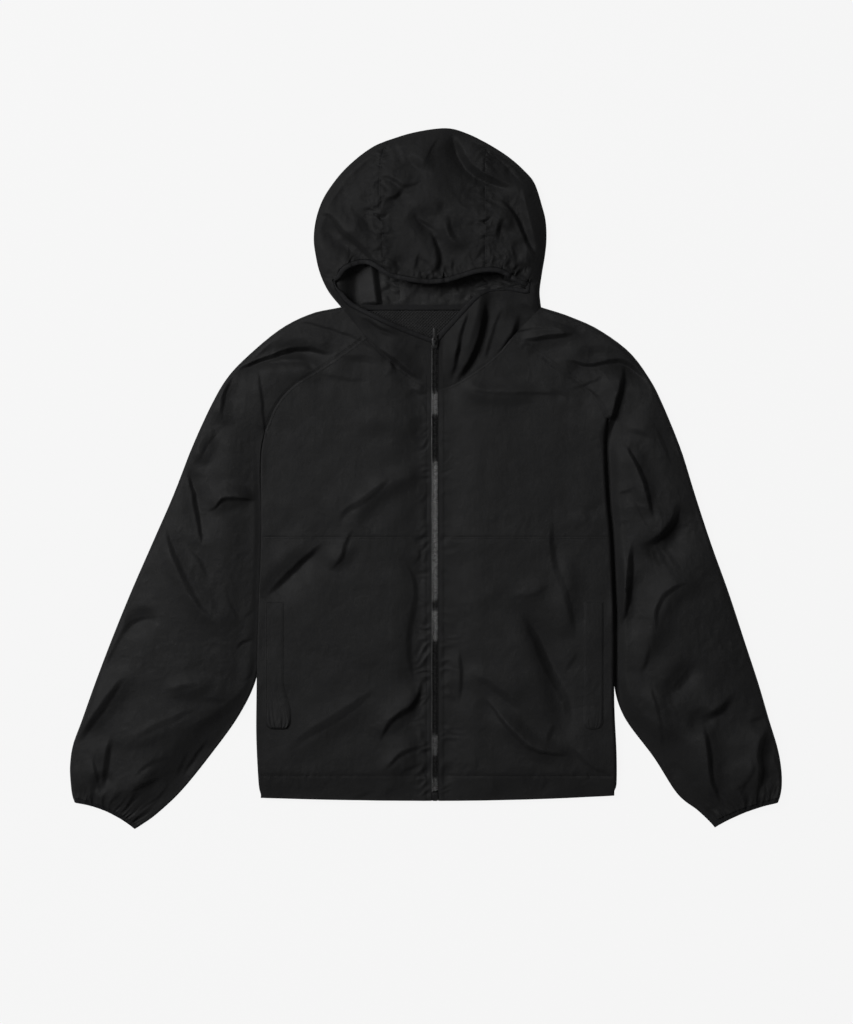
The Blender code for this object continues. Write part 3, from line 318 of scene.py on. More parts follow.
def fold_heights(folds, x, y):
    """Soft ridges and troughs, each along the arc through its three points."""
    total = np.zeros(np.shape(x))
    t = np.linspace(0, 1, ARC_POINTS)[:, None]
    for fold in folds:
        start, middle, end = np.array(fold[:6], float).reshape(3, 2)
        control = 2 * middle - (start + end) / 2
        arc = (1 - t) ** 2 * start + 2 * t * (1 - t) * control + t ** 2 * end
        reach = np.linalg.norm(end - start) / 2
        from_middle = np.hypot(x - middle[0], y - middle[1])
        near = from_middle < (FOLD_FULL + FOLD_FADE) * reach
        if not near.any():
            continue
        off_line = distance_to(arc, x[near], y[near])
        fade = 1 - smooth_step((from_middle[near] - FOLD_FULL * reach) / (FOLD_FADE * reach))
        total[near] += fold.height * np.exp(-(off_line / fold.width) ** 2) * fade
    return total


def curves_of(table, steps=10):
    return {side: smooth_curve(points, steps) for side, points in table.items()}


def outer_outline():
    """The garment's outer folds, from one cuff over the hood to the other cuff."""
    halves = []
    for side in SIDES:
        sleeve = [(station.outer_x, station.outer_y) for station in SLEEVE[side][1:]]
        shoulder = smooth_curve((*SHOULDER[side], *sleeve), OUTLINE_STEPS)
        hood = smooth_curve(HOOD_OUTLINE[side], OUTLINE_STEPS)
        halves.append(np.vstack([shoulder[::-1], hood[::-1][1:]]))
    right, left = halves
    return np.vstack([right, smooth_curve(CROWN, OUTLINE_STEPS)[1:], left[::-1][1:]])


FOLDS = BODY_FOLDS + SLEEVE_FOLDS
OUTLINE = outer_outline()
SIDE_LINES = curves_of(SIDE, 6)
NECK_LINES = curves_of(NECK_FRONT)
RAGLAN_LINES = curves_of(RAGLAN_FRONT)
RAGLAN_BACK_LINES = curves_of(RAGLAN_BACK)
HOOD_SEAM_LINES = curves_of(HOOD_SEAM)
HOOD_EDGE_LINES = curves_of(HOOD_EDGE)


def toward_hood(y):
    return smooth_step((y - NECK_Y) / HOOD_START)


def fold_radius(y):
    """Radius of the garment's outer fold: small on a sleeve, larger round the hood."""
    return SLEEVE_ROLL + (HOOD_ROLL - SLEEVE_ROLL) * toward_hood(y)


def fold_middle(y):
    """Height of the outer fold's widest line."""
    return SLEEVE_FOLD_HEIGHT + (HOOD_FOLD_HEIGHT - SLEEVE_FOLD_HEIGHT) * toward_hood(y)


def over_fold(plateau, x, y):
    """Top cloth that comes up from the outer fold to a height."""
    middle = fold_middle(y)
    return middle + (plateau - middle) * roll(distance_to(OUTLINE, x, y), fold_radius(y))


def under_fold(x, y):
    """Cloth that rests on the surface and turns up into the outer fold."""
    return fold_middle(y) * (1 - roll(distance_to(OUTLINE, x, y), fold_radius(y)))


def above_hem(y):
    return smooth_step((y - HEM_CENTER_Y) / HEM_RISE)


def front_plateau(x, y):
    """Height of the laid fronts, low and level beside the zip and low at the hem."""
    return (ZIP_HEIGHT + BODY_PUFF * smooth_step((np.abs(x) - FLAT_BY_ZIP) / PUFF_REACH)
            * above_hem(y))


def away_from_zip(x):
    return smooth_step((np.abs(x) - FLAT_BY_ZIP) / FOLD_REACH)


def body_top(side, x, y, folds=FOLDS):
    plateau = front_plateau(x, y) + away_from_zip(x) * above_hem(y) * fold_heights(folds, x, y)
    inset = distance_to(SIDE_LINES[side], x, y)
    edge = SIDE_SEAM_HEIGHT[side]
    edge = edge + SIDE_SEAM_RISE[side] * smooth_step((y - SLEEVE_LEAVES_Y) / SIDE_SEAM_EASE)
    return edge + (plateau - edge) * roll(inset, SIDE_ROLL[side])


def back_under(x, y):
    """Underside of the back, flat on the surface and lifting to the side seams."""
    inset = np.minimum(distance_to(SIDE_LINES["right"], x, y),
                       distance_to(SIDE_LINES["left"], x, y))
    edge = np.where(x < 0, BACK_EDGE_HEIGHT["right"], BACK_EDGE_HEIGHT["left"])
    return edge * (1 - smooth_step((inset - BACK_EDGE_INSET) / BACK_ROLL))


def level(points, heights):
    """Plan points given their heights."""
    heights = np.broadcast_to(heights, np.shape(points)[:-1])
    return np.concatenate([points, heights[..., None]], -1)


def raised(plan, heights_of):
    """Plan points given the heights that a function of x and y returns."""
    return level(plan, heights_of(plan[..., 0], plan[..., 1]))


def shifted(line, distance):
    """A polyline moved sideways, to the left of its run."""
    run = np.gradient(line, axis=0)
    run /= np.linalg.norm(run, axis=1)[:, None]
    return line + distance * np.stack([-run[:, 1], run[:, 0]], -1)


# ---------------------------------------------------------------- relief of light nylon

LATTICE = 89
NOISE_SHIFT = (0.37, 0.71)      # of each seed's noise from the last one's
NOISE_GAIN = 1.5
TO_SHADE = np.array((0.7, -0.7))    # the side on which creases fall away
BAND_TAPER = 22.0       # length over which a crease dies out at each end
BAND_EASE = 3.5         # or that many widths, if longer
BAND_TAPER_SHARE = 0.45     # but never over more than this share of the crease
BAND_REACH = 5.5        # its relief ends this many widths away
BAND_STEEP = 0.9        # share of the listed slopes that a crease gets
BAND_END = 0.4          # its width at its ends, as a share of the middle's
BAND_FULL = 48.0        # a shorter crease is shallower
BAND_WANDER = 0.8       # unevenness of its crest
BAND_WIDTH = 0.68       # share of the listed widths that its steep side gets
BAND_WAVE = 13.0
SWELL = 0.9             # soft undulation
SWELL_SIZE = 46.0
SMALL_SWELL = (0.6, 0.55)       # its height and size, as shares of the large one's
CRINKLE_WANDER = (6.0, 31.0)    # height and size of the noise that bends the crinkles
SMALL_CRINKLE = (0.4, 0.5)      # height and size, as shares of the large one's
CRINKLE_STRETCH = 1.4
CRINKLE_PATCHES = 60.0          # size of the crinkled and calm places
CRINKLE_SIZE = 15.0
CRINKLE_DEPTH = 2.2
PLEAT_DEPTH = 2.4
BODY_CRINKLE = 0.22     # small uneven dents
SLEEVE_CRINKLE = 0.5
HOOD_CRINKLE = 1.0
HOOD_STEEP = 1.45       # of the hood's creases, as a share of the others'
STREAK = 0.04           # long faint dents down the cloth
STREAK_SIZE = 5.0
STREAK_LENGTH = 16.0
GROOVE_WIDTH = 1.5
SEAM_REACH = 3.5        # a seam's relief ends this many reaches away
PUCKER_TOP = 0.4        # height of a pucker's crest, and its depth below
PUCKER_DEPTH = 1.2
PUCKER_SLANT = (1.2, 2.2)       # how far the puckers lean, and how often, in pitches
PUCKER_LENGTH = 0.45    # below 1, they are longer than wide
PUCKER_CHANGE = (0.55, 0.9)     # the middle and the swing of their strength along a seam
PUCKER_CLIP = (0.3, 1.2)

SHOULDER_BANDS = rows_of(
    Band,
    (6, 2.0, ((-78, 176), (-55, 160), (-34, 142), (-14, 130))),
    (5, 2.0, ((-61, 162), (-56, 151), (-50, 142))),
    (5, 2.0, ((-34, 124), (-23, 116), (-12, 111))),
    (9.5, 1.7, ((-265, 145), (-222, 162), (-176, 174), (-136, 165))),
    (5, 0.8, ((-229, 154), (-196, 158), (-164, 157))),
    (5.5, 0.7, ((-172, 158), (-161, 150), (-150, 137))),
    (13, 0.42, ((-136, 165), (-102, 161), (-68, 157))),
    (9, 0.3, ((-160, 141), (-120, 134), (-85, 130))),
    (4.7, 0.75, ((-188, 213), (-129, 197), (-94, 182), (-74, 165))),
    (4.7, 0.8, ((-237, 154), (-231, 121), (-227, 77), (-222, 48))),
    (9, 1.3, ((113, 184), (150, 189), (189, 194))),
    (5, 0.6, ((93, 190), (128, 200), (182, 198))),
    (9, 1.5, ((172, 160), (206, 152), (249, 157), (285, 130))),
    (6, 0.5, ((41, 132), (65, 116), (156, 114), (174, 108))),
    (5, 0.9, ((154, 124), (164, 117), (176, 106))),
    (5.2, 0.5, ((172, 120), (194, 124), (222, 137), (235, 145))),
    (4.5, 0.5, ((189, 126), (206, 118), (222, 105))),
    (12, 1.6, ((253, 157), (245, 112), (231, 64), (227, 37))),
    (13, -0.3, ((140, 215), (166, 203), (206, 189))),
)
SLEEVE_BANDS = rows_of(
    Band,
    (8, 0.8, ((-266, 142), (-278, 116), (-282, 90), (-278, 76))),
    (15, 0.55, ((-278, 74), (-302, 53), (-314, 27), (-322, 13))),
    (9, 1.25, ((-329, 16), (-318, -29), (-307, -90))),
    (6.4, 1.5, ((-306, -44), (-291, -37), (-275, -25), (-230, -28))),
    (11, 0.75, ((-359, -59), (-351, -86), (-334, -125), (-315, -162), (-286, -193))),
    (8, 0.6, ((-331, -84), (-310, -110), (-299, -138))),
    (7, 0.3, ((-281, -137), (-267, -173), (-255, -194))),
    (5, 0.6, ((-255, -186), (-247, -178), (-235, -169))),
    (5, 1.0, ((-267, -230), (-255, -215), (-233, -210))),
    (6, 1.0, ((-259, -269), (-243, -257), (-237, -226))),
    (9, 0.45, ((-440, -258), (-422, -215), (-399, -188), (-360, -180))),
    (14, 0.85, ((-476, -352), (-444, -307), (-422, -275), (-406, -251))),
    (11, 0.38, ((-363, -281), (-334, -274), (-302, -267))),
    (9, 0.3, ((-317, -290), (-293, -291), (-269, -294))),
    (13, 0.32, ((-406, -348), (-374, -329), (-346, -317), (-311, -298))),
    (7, 1.0, ((-456, -360), (-448, -388), (-442, -416))),
    (11, 1.0, ((-427, -334), (-434, -368), (-440, -416))),
    (7, 1.0, ((-412, -407), (-419, -418), (-426, -428))),
    (7, 1.4, ((-407, -418), (-386, -403), (-359, -394))),
    (5, 0.9, ((-412, -440), (-402, -422), (-388, -407))),
    (6.5, 0.55, ((-402, -396), (-376, -375), (-344, -367))),
    (7, 0.6, ((-391, -399), (-376, -390), (-362, -382))),
    (6, 0.6, ((-347, -400), (-338, -383), (-327, -355))),
    (6, 0.75, ((-338, -398), (-317, -364), (-299, -340))),
    (6, 0.5, ((-471, -367), (-467, -396), (-456, -415))),
    (5, 0.6, ((-386, -434), (-366, -420), (-350, -399))),
    (10, 0.5, ((249, 69), (279, 59), (291, 49))),
    (9, 1.4, ((251, 49), (275, 3), (289, -53))),
    (7, 0.4, ((290, 74), (303, 45), (314, 17))),
    (4, 0.7, ((235, -19), (250, -16), (269, -8))),
    (16, 1.3, ((325, -23), (315, -57), (293, -80), (267, -88))),
    (14, 1.2, ((261, -77), (258, -126), (253, -168), (239, -210))),
    (10, 0.8, ((339, -133), (307, -149), (293, -174), (294, -202))),
    (8, 0.6, ((286, -215), (279, -242), (269, -262))),
    (15, 0.42, ((347, -235), (327, -267), (298, -290))),
    (8, 0.65, ((283, -265), (297, -317), (305, -366))),
    (14, 0.95, ((399, -279), (376, -306), (344, -319))),
    (8, 0.5, ((407, -323), (424, -318), (442, -310))),
    (11, 1.25, ((356, -322), (363, -362), (367, -398), (383, -434))),
    (11, 1.3, ((444, -322), (430, -356), (432, -387), (426, -424))),
    (7, 0.9, ((447, -356), (455, -379), (459, -399))),
    (8, 0.6, ((418, -358), (418, -392), (390, -418))),
    (5, 0.8, ((355, -442), (371, -434), (380, -448))),
    (6, 0.4, ((310, -372), (325, -380), (339, -394))),
    (5, 0.6, ((399, -426), (408, -410), (414, -394))),
)
BODY_BANDS = rows_of(
    Band,
    (13, 0.5, ((-125, -66), (-121, -45), (-90, -24), (-49, 12))),
    (8, 0.8, ((-106, -62), (-118, -84), (-124, -104), (-142, -123))),
    (12, 1.1, ((-146, -81), (-185, -117), (-226, -157))),
    (10, 1.15, ((-15, -263), (-28, -297), (-60, -322), (-74, -350))),
    (7.5, 0.95, ((-12, -351), (-45, -364), (-70, -388))),
    (6, 0.6, ((-12, -375), (-37, -384), (-52, -395))),
    (17, 0.32, ((-68, -271), (-122, -309), (-169, -338), (-202, -364))),
    (7, 0.4, ((-15, 13), (-9, -27), (-15, -66))),
    (11, 0.45, ((-40, -106), (-25, -146), (-35, -213), (-28, -271))),
    (5, 0.7, ((-23, -86), (-20, -101), (-31, -114))),
    (9, 0.2, ((92, -156), (134, -152), (153, -133))),
    (19, 0.6, ((108, -168), (130, -205), (153, -255), (174, -294), (178, -338))),
    (9, 0.5, ((146, -356), (152, -340), (160, -319))),
    (13, 0.45, ((154, -47), (158, -106), (178, -168), (186, -213))),
    (14, 0.35, ((193, -33), (201, -47), (209, -59))),
    (8, 0.7, ((33, -222), (35, -266), (32, -297))),
    (14, 0.45, ((41, -254), (77, -274), (121, -311))),
    (7, 1.35, ((63, -286), (104, -336), (134, -359), (180, -366))),
    (5, 0.6, ((13, -266), (21, -279), (32, -295))),
    (7, 0.6, ((176, -350), (206, -380), (234, -391))),
    (7, 0.35, ((170, -259), (181, -242), (193, -223))),
    (5, 0.5, ((52, -362), (55, -375), (53, -388))),
    (5, 0.5, ((72, -394), (80, -406), (89, -418))),
    (5, 0.45, ((138, -416), (145, -404), (152, -392))),
    (6, 0.5, ((-110, -423), (-97, -418), (-78, -414))),
    (5, 0.45, ((-148, -415), (-146, -404), (-137, -396))),
    (5, 0.5, ((-52, -407), (-60, -412), (-68, -422))),
)
HOOD_BANDS = rows_of(
    Band,
    (14, 1.6, ((23, 466), (37, 427), (60, 403), (109, 383))),
    (6.5, 0.7, ((63, 427), (72, 416), (84, 404))),
    (17, 0.4, ((-47, 436), (-89, 419), (-110, 400), (-126, 376), (-156, 351))),
    (9, 1.1, ((-158, 352), (-140, 350), (-124, 329), (-102, 311), (-78, 287), (-45, 273))),
    (18, 0.4, ((-110, 354), (-97, 338), (-89, 319))),
    (16, 0.5, ((-40, 439), (-20, 416), (1, 410))),
    (7.5, 0.75, ((-78, 403), (-56, 398), (-41, 388), (-12, 396))),
    (7.5, 1.0, ((-39, 391), (-51, 375), (-73, 367))),
    (5.2, 1.2, ((-31, 354), (-13, 339), (7, 327))),
    (11, 0.85, ((15, 355), (20, 327), (37, 305))),
    (10, 0.4, ((12, 376), (7, 362), (1, 346))),
    (9.5, 1.0, ((-9, 332), (3, 306), (4, 282), (-11, 267))),
    (6, 1.0, ((-21, 305), (-25, 286), (-31, 271))),
    (5, 1.0, ((23, 299), (23, 285), (21, 271))),
    (8, 0.75, ((98, 348), (84, 335), (84, 309))),
    (8, 1.0, ((81, 375), (105, 351), (120, 318), (136, 287))),
    (6, 0.65, ((98, 318), (104, 303), (109, 287))),
    (11, 1.0, ((105, 290), (116, 285), (130, 277))),
    (9, 1.2, ((-57, 293), (-51, 282), (-47, 270))),
    (7, 0.6, ((-89, 303), (-76, 301), (-60, 297))),
    (6, 0.6, ((40, 383), (51, 387), (63, 387))),
    (5, 0.6, ((37, 335), (49, 338), (63, 336))),
    (6, 0.5, ((-105, 368), (-92, 376), (-73, 378))),
    (5, 0.5, ((-100, 355), (-86, 358), (-72, 354))),
    (11, -0.7, ((114, 391), (118, 354), (136, 295))),
    (11, -0.6, ((70, 439), (96, 418), (117, 391))),
)
CHIN_BANDS = rows_of(
    Band,
    (8, 1.5, ((48, 231), (35, 194), (27, 154), (20, 128))),
    (12, 2.0, ((69, 239), (60, 186), (44, 152), (24, 125))),
    (6.5, 1.0, ((90, 233), (76, 193), (65, 154))),
    (10, 1.3, ((112, 223), (104, 193), (80, 162))),
    (6, 1.0, ((-84, 178), (-66, 160), (-48, 142))),
    (6, 0.9, ((-104, 218), (-85, 209), (-61, 194))),
    (6, 0.6, ((-31, 174), (-23, 177), (-13, 176))),
    (4.8, 1.4, ((-92, 212), (-70, 200), (-46, 190))),
    (4, 1.0, ((-82, 203), (-66, 193), (-52, 188))),
    (5, 1.3, ((110, 236), (124, 228), (136, 214))),
    (4.4, 1.1, ((104, 222), (118, 212), (128, 200))),
    (5, 1.1, ((36, 190), (30, 168), (24, 150))),
)
INNER_BANDS = rows_of(
    Band,
    (7, 0.9, ((-77, 245), (-62, 257), (-49, 264))),
    (8, 0.7, ((-33, 238), (-26, 250), (-18, 259))),
    (8, 0.7, ((2, 240), (10, 249), (17, 258))),
    (8, 0.7, ((28, 236), (37, 246), (45, 250))),
)


def noise(x, y, size, seed, stretch=1.0):
    """Seeded gradient noise in plan, about -1 to 1, with bumps of the given size."""
    turns = np.random.default_rng(seed).uniform(0, 2 * np.pi, (LATTICE, LATTICE))
    u = x / size + NOISE_SHIFT[0] * seed
    v = y / (size * stretch) + NOISE_SHIFT[1] * seed
    column = np.floor(u).astype(int)
    row = np.floor(v).astype(int)
    total = np.zeros(np.shape(x))
    for right in (0, 1):
        for up in (0, 1):
            turn = turns[(column + right) % LATTICE, (row + up) % LATTICE]
            across = u - column - right
            along = v - row - up
            fade = smooth_step(1 - np.abs(across)) * smooth_step(1 - np.abs(along))
            total += fade * (np.cos(turn) * across + np.sin(turn) * along)
    return NOISE_GAIN * total


def ridges(x, y, size, seed, stretch=1.0, depth=PLEAT_DEPTH):
    """Noise folded into sharp crests, 1 high."""
    return 1 - depth * np.abs(noise(x, y, size, seed, stretch))


def dimples(x, y, size, seed):
    """Noise from 0 to 1."""
    return 0.5 + 0.5 * noise(x, y, size, seed)


def near_line(line, x, y, reach):
    """Which places lie in a polyline's box, grown by the reach."""
    return ((x > line[:, 0].min() - reach) & (x < line[:, 0].max() + reach)
            & (y > line[:, 1].min() - reach) & (y < line[:, 1].max() + reach))


def beside(line, x, y):
    """For each place, its distance from a polyline, positive to the right of its run, and
    how far along it the nearest point is."""
    nearest = np.full(np.shape(x), np.inf)
    signed = np.zeros(np.shape(x))
    along = np.zeros(np.shape(x))
    for start, end, before in zip(line, line[1:], lengths_along(line)):
        run = end - start
        length = np.linalg.norm(run)
        t = np.clip(((x - start[0]) * run[0] + (y - start[1]) * run[1]) / length ** 2, 0, 1)
        dx = x - start[0] - t * run[0]
        dy = y - start[1] - t * run[1]
        off = np.hypot(dx, dy)
        closer = off < nearest
        nearest = np.where(closer, off, nearest)
        side = np.where(dx * run[1] - dy * run[0] < 0, -1.0, 1.0)
        signed = np.where(closer, side * off, signed)
        along = np.where(closer, before + t * length, along)
    return signed, along


@cache
def crease_line(places):
    """A crease's curve, run so that its steep side is at its right."""
    line = smooth_curve(places, 5)
    run = line[-1] - line[0]
    return line[::-1] if (run[1], -run[0]) @ TO_SHADE < 0 else line


def band_heights(bands, x, y):
    """Creases: the cloth runs level to a sharp crest, drops evenly to a sharp trough and
    slowly climbs back."""
    total = np.zeros(np.shape(x))
    wander = BAND_WANDER * noise(x, y, BAND_WAVE, 11)
    for band in bands:
        line = crease_line(band.places)
        fall = BAND_WIDTH * band.width
        reach = BAND_REACH * fall
        near = near_line(line, x, y, reach)
        if not near.any():
            continue
        off, along = beside(line, x[near], y[near])
        length = length_of(line)
        taper = min(max(BAND_TAPER, BAND_EASE * fall), BAND_TAPER_SHARE * length)
        ends = smooth_step(along / taper) * smooth_step((length - along) / taper)
        fall *= BAND_END + (1 - BAND_END) * np.sin(np.pi * along / length)
        off = off + 0.5 * fall + wander[near]
        drop = 1 - 2 * np.clip(off / fall, 0, 1)
        past = np.where(off < 0, -off, np.maximum(off - fall, 0))
        profile = drop * (1 - smooth_step(past / reach))
        depth = 0.5 * BAND_STEEP * min(1, length / BAND_FULL) * band.slope
        total[near] += depth * fall * profile * ends
    return total


def surface_relief(x, y, crinkled):
    """Undulation and crinkles that all the shell cloth has."""
    height, share = SMALL_SWELL
    swell = noise(x, y, SWELL_SIZE, 3) + height * noise(x, y, share * SWELL_SIZE, 4)
    height, size = CRINKLE_WANDER
    wander = height * noise(x, y, size, 8)
    height, share = SMALL_CRINKLE
    crinkle = ridges(x + wander, y - wander, CRINKLE_SIZE, 5, CRINKLE_STRETCH, CRINKLE_DEPTH)
    crinkle += height * ridges(x - wander, y, share * CRINKLE_SIZE, 7, 1.0, CRINKLE_DEPTH)
    crinkle *= dimples(x, y, CRINKLE_PATCHES, 9)
    streak = noise(x, y, STREAK_SIZE, 6, STREAK_LENGTH)
    return SWELL * swell + crinkled * crinkle + STREAK * streak


def seam_heights(seam, line, x, y):
    """A groove on the seam and small uneven puckers across it, stronger on some stretches."""
    total = np.zeros(np.shape(x))
    near = near_line(line, x, y, SEAM_REACH * seam.reach)
    if not near.any():
        return total
    off, along = beside(line, x[near], y[near])
    lean, often = PUCKER_SLANT
    slant = along + lean * seam.pitch * noise(x[near], y[near], often * seam.pitch, seam.seed + 30)
    pucker = PUCKER_TOP - PUCKER_DEPTH * np.abs(noise(slant, PUCKER_LENGTH * off, seam.pitch,
                                                      seam.seed))
    middle, swing = PUCKER_CHANGE
    strength = middle + swing * noise(along, 0 * along, 8 * seam.pitch, seam.seed + 60)
    pucker *= np.clip(strength, *PUCKER_CLIP)
    off = np.abs(off)
    total[near] = (seam.pucker * pucker * np.exp(-off / seam.reach)
                   - seam.groove * np.exp(-(off / GROOVE_WIDTH) ** 2))
    return total


def filled(stops, step):
    """The stops with even places between them, none further apart than step."""
    stops = np.asarray(stops, float)
    runs = [np.linspace(start, end, max(1, int(np.ceil((end - start) / step))) + 1)[:-1]
            for start, end in zip(stops, stops[1:])]
    return np.concatenate(runs + [stops[-1:]])


# ---------------------------------------------------------------- objects

TOPS = []       # vertices and faces of the upper surfaces, for the stitching to lie on
CLOTHS = []
RIM_ANGLE = np.radians(68)      # a cloth's edge sharper than this isn't smoothed over
CRISP_ANGLE = np.radians(28)    # nor is one of a hard piece
SAME_PLACE = 0.01


def mesh_of(name, points, faces):
    mesh = bpy.data.meshes.new(name)
    mesh.from_pydata((np.asarray(points) * MM).tolist(), [], faces)
    mesh.shade_smooth()
    return mesh


def piece(name, mesh, finish, body="jacket"):
    """An object that rides on a body, with the given finish."""
    made = bpy.data.objects.new(name, mesh)
    made.data.materials.append(finish)
    bpy.context.scene.collection.objects.link(made)
    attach(made, body)
    return made


def grid_faces(grid, flip, skipped):
    """Quads of a grid. A row whose two ends meet is closed into a ring."""
    rows, columns = grid.shape[:2]
    index = np.arange(rows * columns).reshape(rows, columns)
    closed = np.linalg.norm(grid[:, 0] - grid[:, -1], axis=1) < SAME_PLACE
    index[closed, -1] = index[closed, 0]
    faces = np.stack([index[:-1, :-1], index[:-1, 1:], index[1:, 1:], index[1:, :-1]], -1)
    faces = faces.reshape(-1, 4) if skipped is None else faces[~skipped]
    return faces[:, ::-1] if flip else faces


def cloth(name, grid, finishes, wall=WALL, flip=False, skipped=None, nodes=None,
          lined=False):
    """Cloth on the outer points of a grid, in place of its nodes: a wall at its borders, and
    all over where its inside shows."""
    faces = grid_faces(grid, flip, skipped)
    used, faces = np.unique(faces, return_inverse=True)
    faces = faces.reshape(-1, 4)
    points = grid.reshape(-1, 3)[used]
    TOPS.append((points, faces))
    made = piece(f"{name}_cloth", mesh_of(name, points, faces.tolist()), finishes[0])
    made.data.materials.append(finishes[-1])
    shell = made.modifiers.new("Wall", "SOLIDIFY")
    shell.thickness = wall * MM
    shell.offset = -1
    shell.use_rim_only = not lined
    shell.material_offset = 1
    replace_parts(made, *(nodes or (name,)))
    CLOTHS.append(made)
    return made


def set_walls():
    """Makes the cloths' walls part of their meshes, with sharp edges round their rims."""
    graph = bpy.context.evaluated_depsgraph_get()
    for made in CLOTHS:
        mesh = bpy.data.meshes.new_from_object(made.evaluated_get(graph))
        mesh.set_sharp_from_angle(angle=RIM_ANGLE)
        made.modifiers.clear()
        made.data = mesh


def merged(parts):
    """Several (points, faces) parts as one. Their faces are lists of indices."""
    points = []
    faces = []
    for part_points, part_faces in parts:
        faces += [[len(points) + corner for corner in face] for face in part_faces]
        points += np.asarray(part_points).tolist()
    return np.array(points), faces


def joined(name, parts, finish, body="jacket"):
    """One mesh with crisp edges from several parts."""
    mesh = mesh_of(name, *merged(parts))
    mesh.set_sharp_from_angle(angle=CRISP_ANGLE)
    return piece(name, mesh, finish, body)


def ring_faces(rings, facets):
    """Quads between rings of points that follow each other."""
    return [[facets * ring + spot, facets * ring + (spot + 1) % facets,
             facets * (ring + 1) + (spot + 1) % facets, facets * (ring + 1) + spot]
            for ring in range(rings - 1) for spot in range(facets)]


def repeated(template, places, turns):
    """A template's points and faces at many places, each with its own 3 x 3 turn."""
    points, faces = template
    moved = np.einsum("nij,pj->npi", turns, points) + places[:, None]
    firsts = np.arange(len(places)) * len(points)
    shifted_faces = [[first + corner for corner in face] for first in firsts for face in faces]
    return moved.reshape(-1, 3), shifted_faces


# ---------------------------------------------------------------- grids

FINE = 1.65             # spacing of the points where the cloth shows
COARSE = 5.0            # and underneath
ROLL_PLACES = np.array((0.03, 0.1, 0.2, 0.32, 0.46, 0.64, 0.82, 1.0))


def trimmed(grid, first_row=False, last_row=False, first_column=False, last_column=False):
    """The grid with the borders that are seams pulled in along its own lines."""
    grid = grid.copy()
    columns = grid.swapaxes(0, 1)
    for wanted, lines, border, inner in (
            (first_row, grid, 0, 1), (last_row, grid, -1, -2),
            (first_column, columns, 0, 1), (last_column, columns, -1, -2)):
        if wanted:
            run = lines[inner] - lines[border]
            lines[border] += SEAM_TRIM * run / np.linalg.norm(run, axis=-1)[..., None]
    return grid


def between(start, end, fractions):
    """Points from start to end at the given fractions."""
    start = np.asarray(start, float)
    return start + fractions[:, None] * (np.asarray(end, float) - start)


def ruled(start, end, fractions):
    """Points between two lines of points, a column for each fraction."""
    return start[:, None] + fractions[None, :, None] * (end - start)[:, None]


def side_x(side, y):
    line = SIDE_LINES[side]
    return np.interp(y, line[::-1, 1], np.abs(line[::-1, 0]))


# ---------------------------------------------------------------- body

ZIP_SEAM_X = 11.5       # stitching beside the zip
HEM_STITCH_Y = -392.0
SEAM_END_X = 250.0      # past the side seams
RELIEF_X = (8.0, 12.0)          # the relief starts here and comes in over this distance
PUCKER_X = (5.0, 8.0)           # and the puckers beside the zip
TIGHT_EDGE = (30.0, 9.0)        # the side seam is smooth from 30 below the armpit, 9 wide
SEAM_SHARE = 0.4        # of its puckers that a seam keeps where the cloth has no relief
ZIP_SHARE = 0.35
HEM_CORNER_RISE = 30.0  # the hem's curve dies out over this height
SIDE_EASE = 90.0        # distance over which the upper front's columns follow its side seam
SIDE_SHARE = 0.97       # outside this share of a lower front its columns are closer
SIDE_CLOSER = 0.3
CHEST_STOP_X = 105.0    # the chest seam's place below the front raglan's upper end
LOWER_WIDTH = 230.0
UPPER_LENGTH = 235.0
BACK_WIDTH = 460.0
CHEST = Seam(0.5, 0.7, 8.0, 9.0, 21)
HEM_STITCH = Seam(0.5, 1.3, 9.0, 10.0, 22)
ZIP_STITCH = Seam(0.5, 5.5, 12.0, 11.0, 23)
LEFT_ZIP = 0.5          # share of its puckers that the left front has
UPPER_ZIP = 0.5         # and both fronts above the chest seam
RAGLAN = Seam(0.3, 0.8, 8.0, 6.0, 24)
NECK = Seam(0.4, 1.2, 7.0, 7.0, 25)


def body_seams(side):
    sign = SIDES[side]
    across = np.array(((ZIP_HALF_OPENING, 0), (SEAM_END_X, 0)), float) * (sign, 1)
    zip_run = np.array(((sign * ZIP_SEAM_X, HEM_CENTER_Y), (sign * ZIP_SEAM_X, NECK_FRONT_Y)))
    return ((CHEST, across + (0, CHEST_SEAM_Y)), (HEM_STITCH, across + (0, HEM_STITCH_Y)),
            (ZIP_STITCH, zip_run), (RAGLAN, RAGLAN_LINES[side]), (NECK, NECK_LINES[side]))


def off_zip(x):
    """Share of the relief that the cloth has beside the zip."""
    start, reach = RELIEF_X
    return smooth_step((np.abs(x) - start) / reach)


def front_relief(side, x, y):
    """Creases and seams, less beside the zip and at the side seam."""
    inset = distance_to(SIDE_LINES[side], x, y)
    length, width = TIGHT_EDGE
    below_armpit = smooth_step((ARMPIT_Y[side] - y) / length)
    loose = 1 - below_armpit * (1 - smooth_step(inset / width))
    loose *= off_zip(x)
    relief = loose * (surface_relief(x, y, BODY_CRINKLE)
                      + band_heights(BODY_BANDS + SHOULDER_BANDS, x, y))
    for seam, line in body_seams(side):
        share = SEAM_SHARE + (1 - SEAM_SHARE) * loose
        if seam is ZIP_STITCH:
            start, reach = PUCKER_X
            share = ZIP_SHARE + (1 - ZIP_SHARE) * smooth_step((np.abs(x) - start) / reach)
            share *= np.where(y > CHEST_SEAM_Y, UPPER_ZIP, 1)
            share *= LEFT_ZIP if side == "left" else 1
        relief += seam_heights(seam, line, x, y) * share
    return relief


def raised_front(side, plan):
    return raised(plan, lambda x, y: body_top(side, x, y) + front_relief(side, x, y))


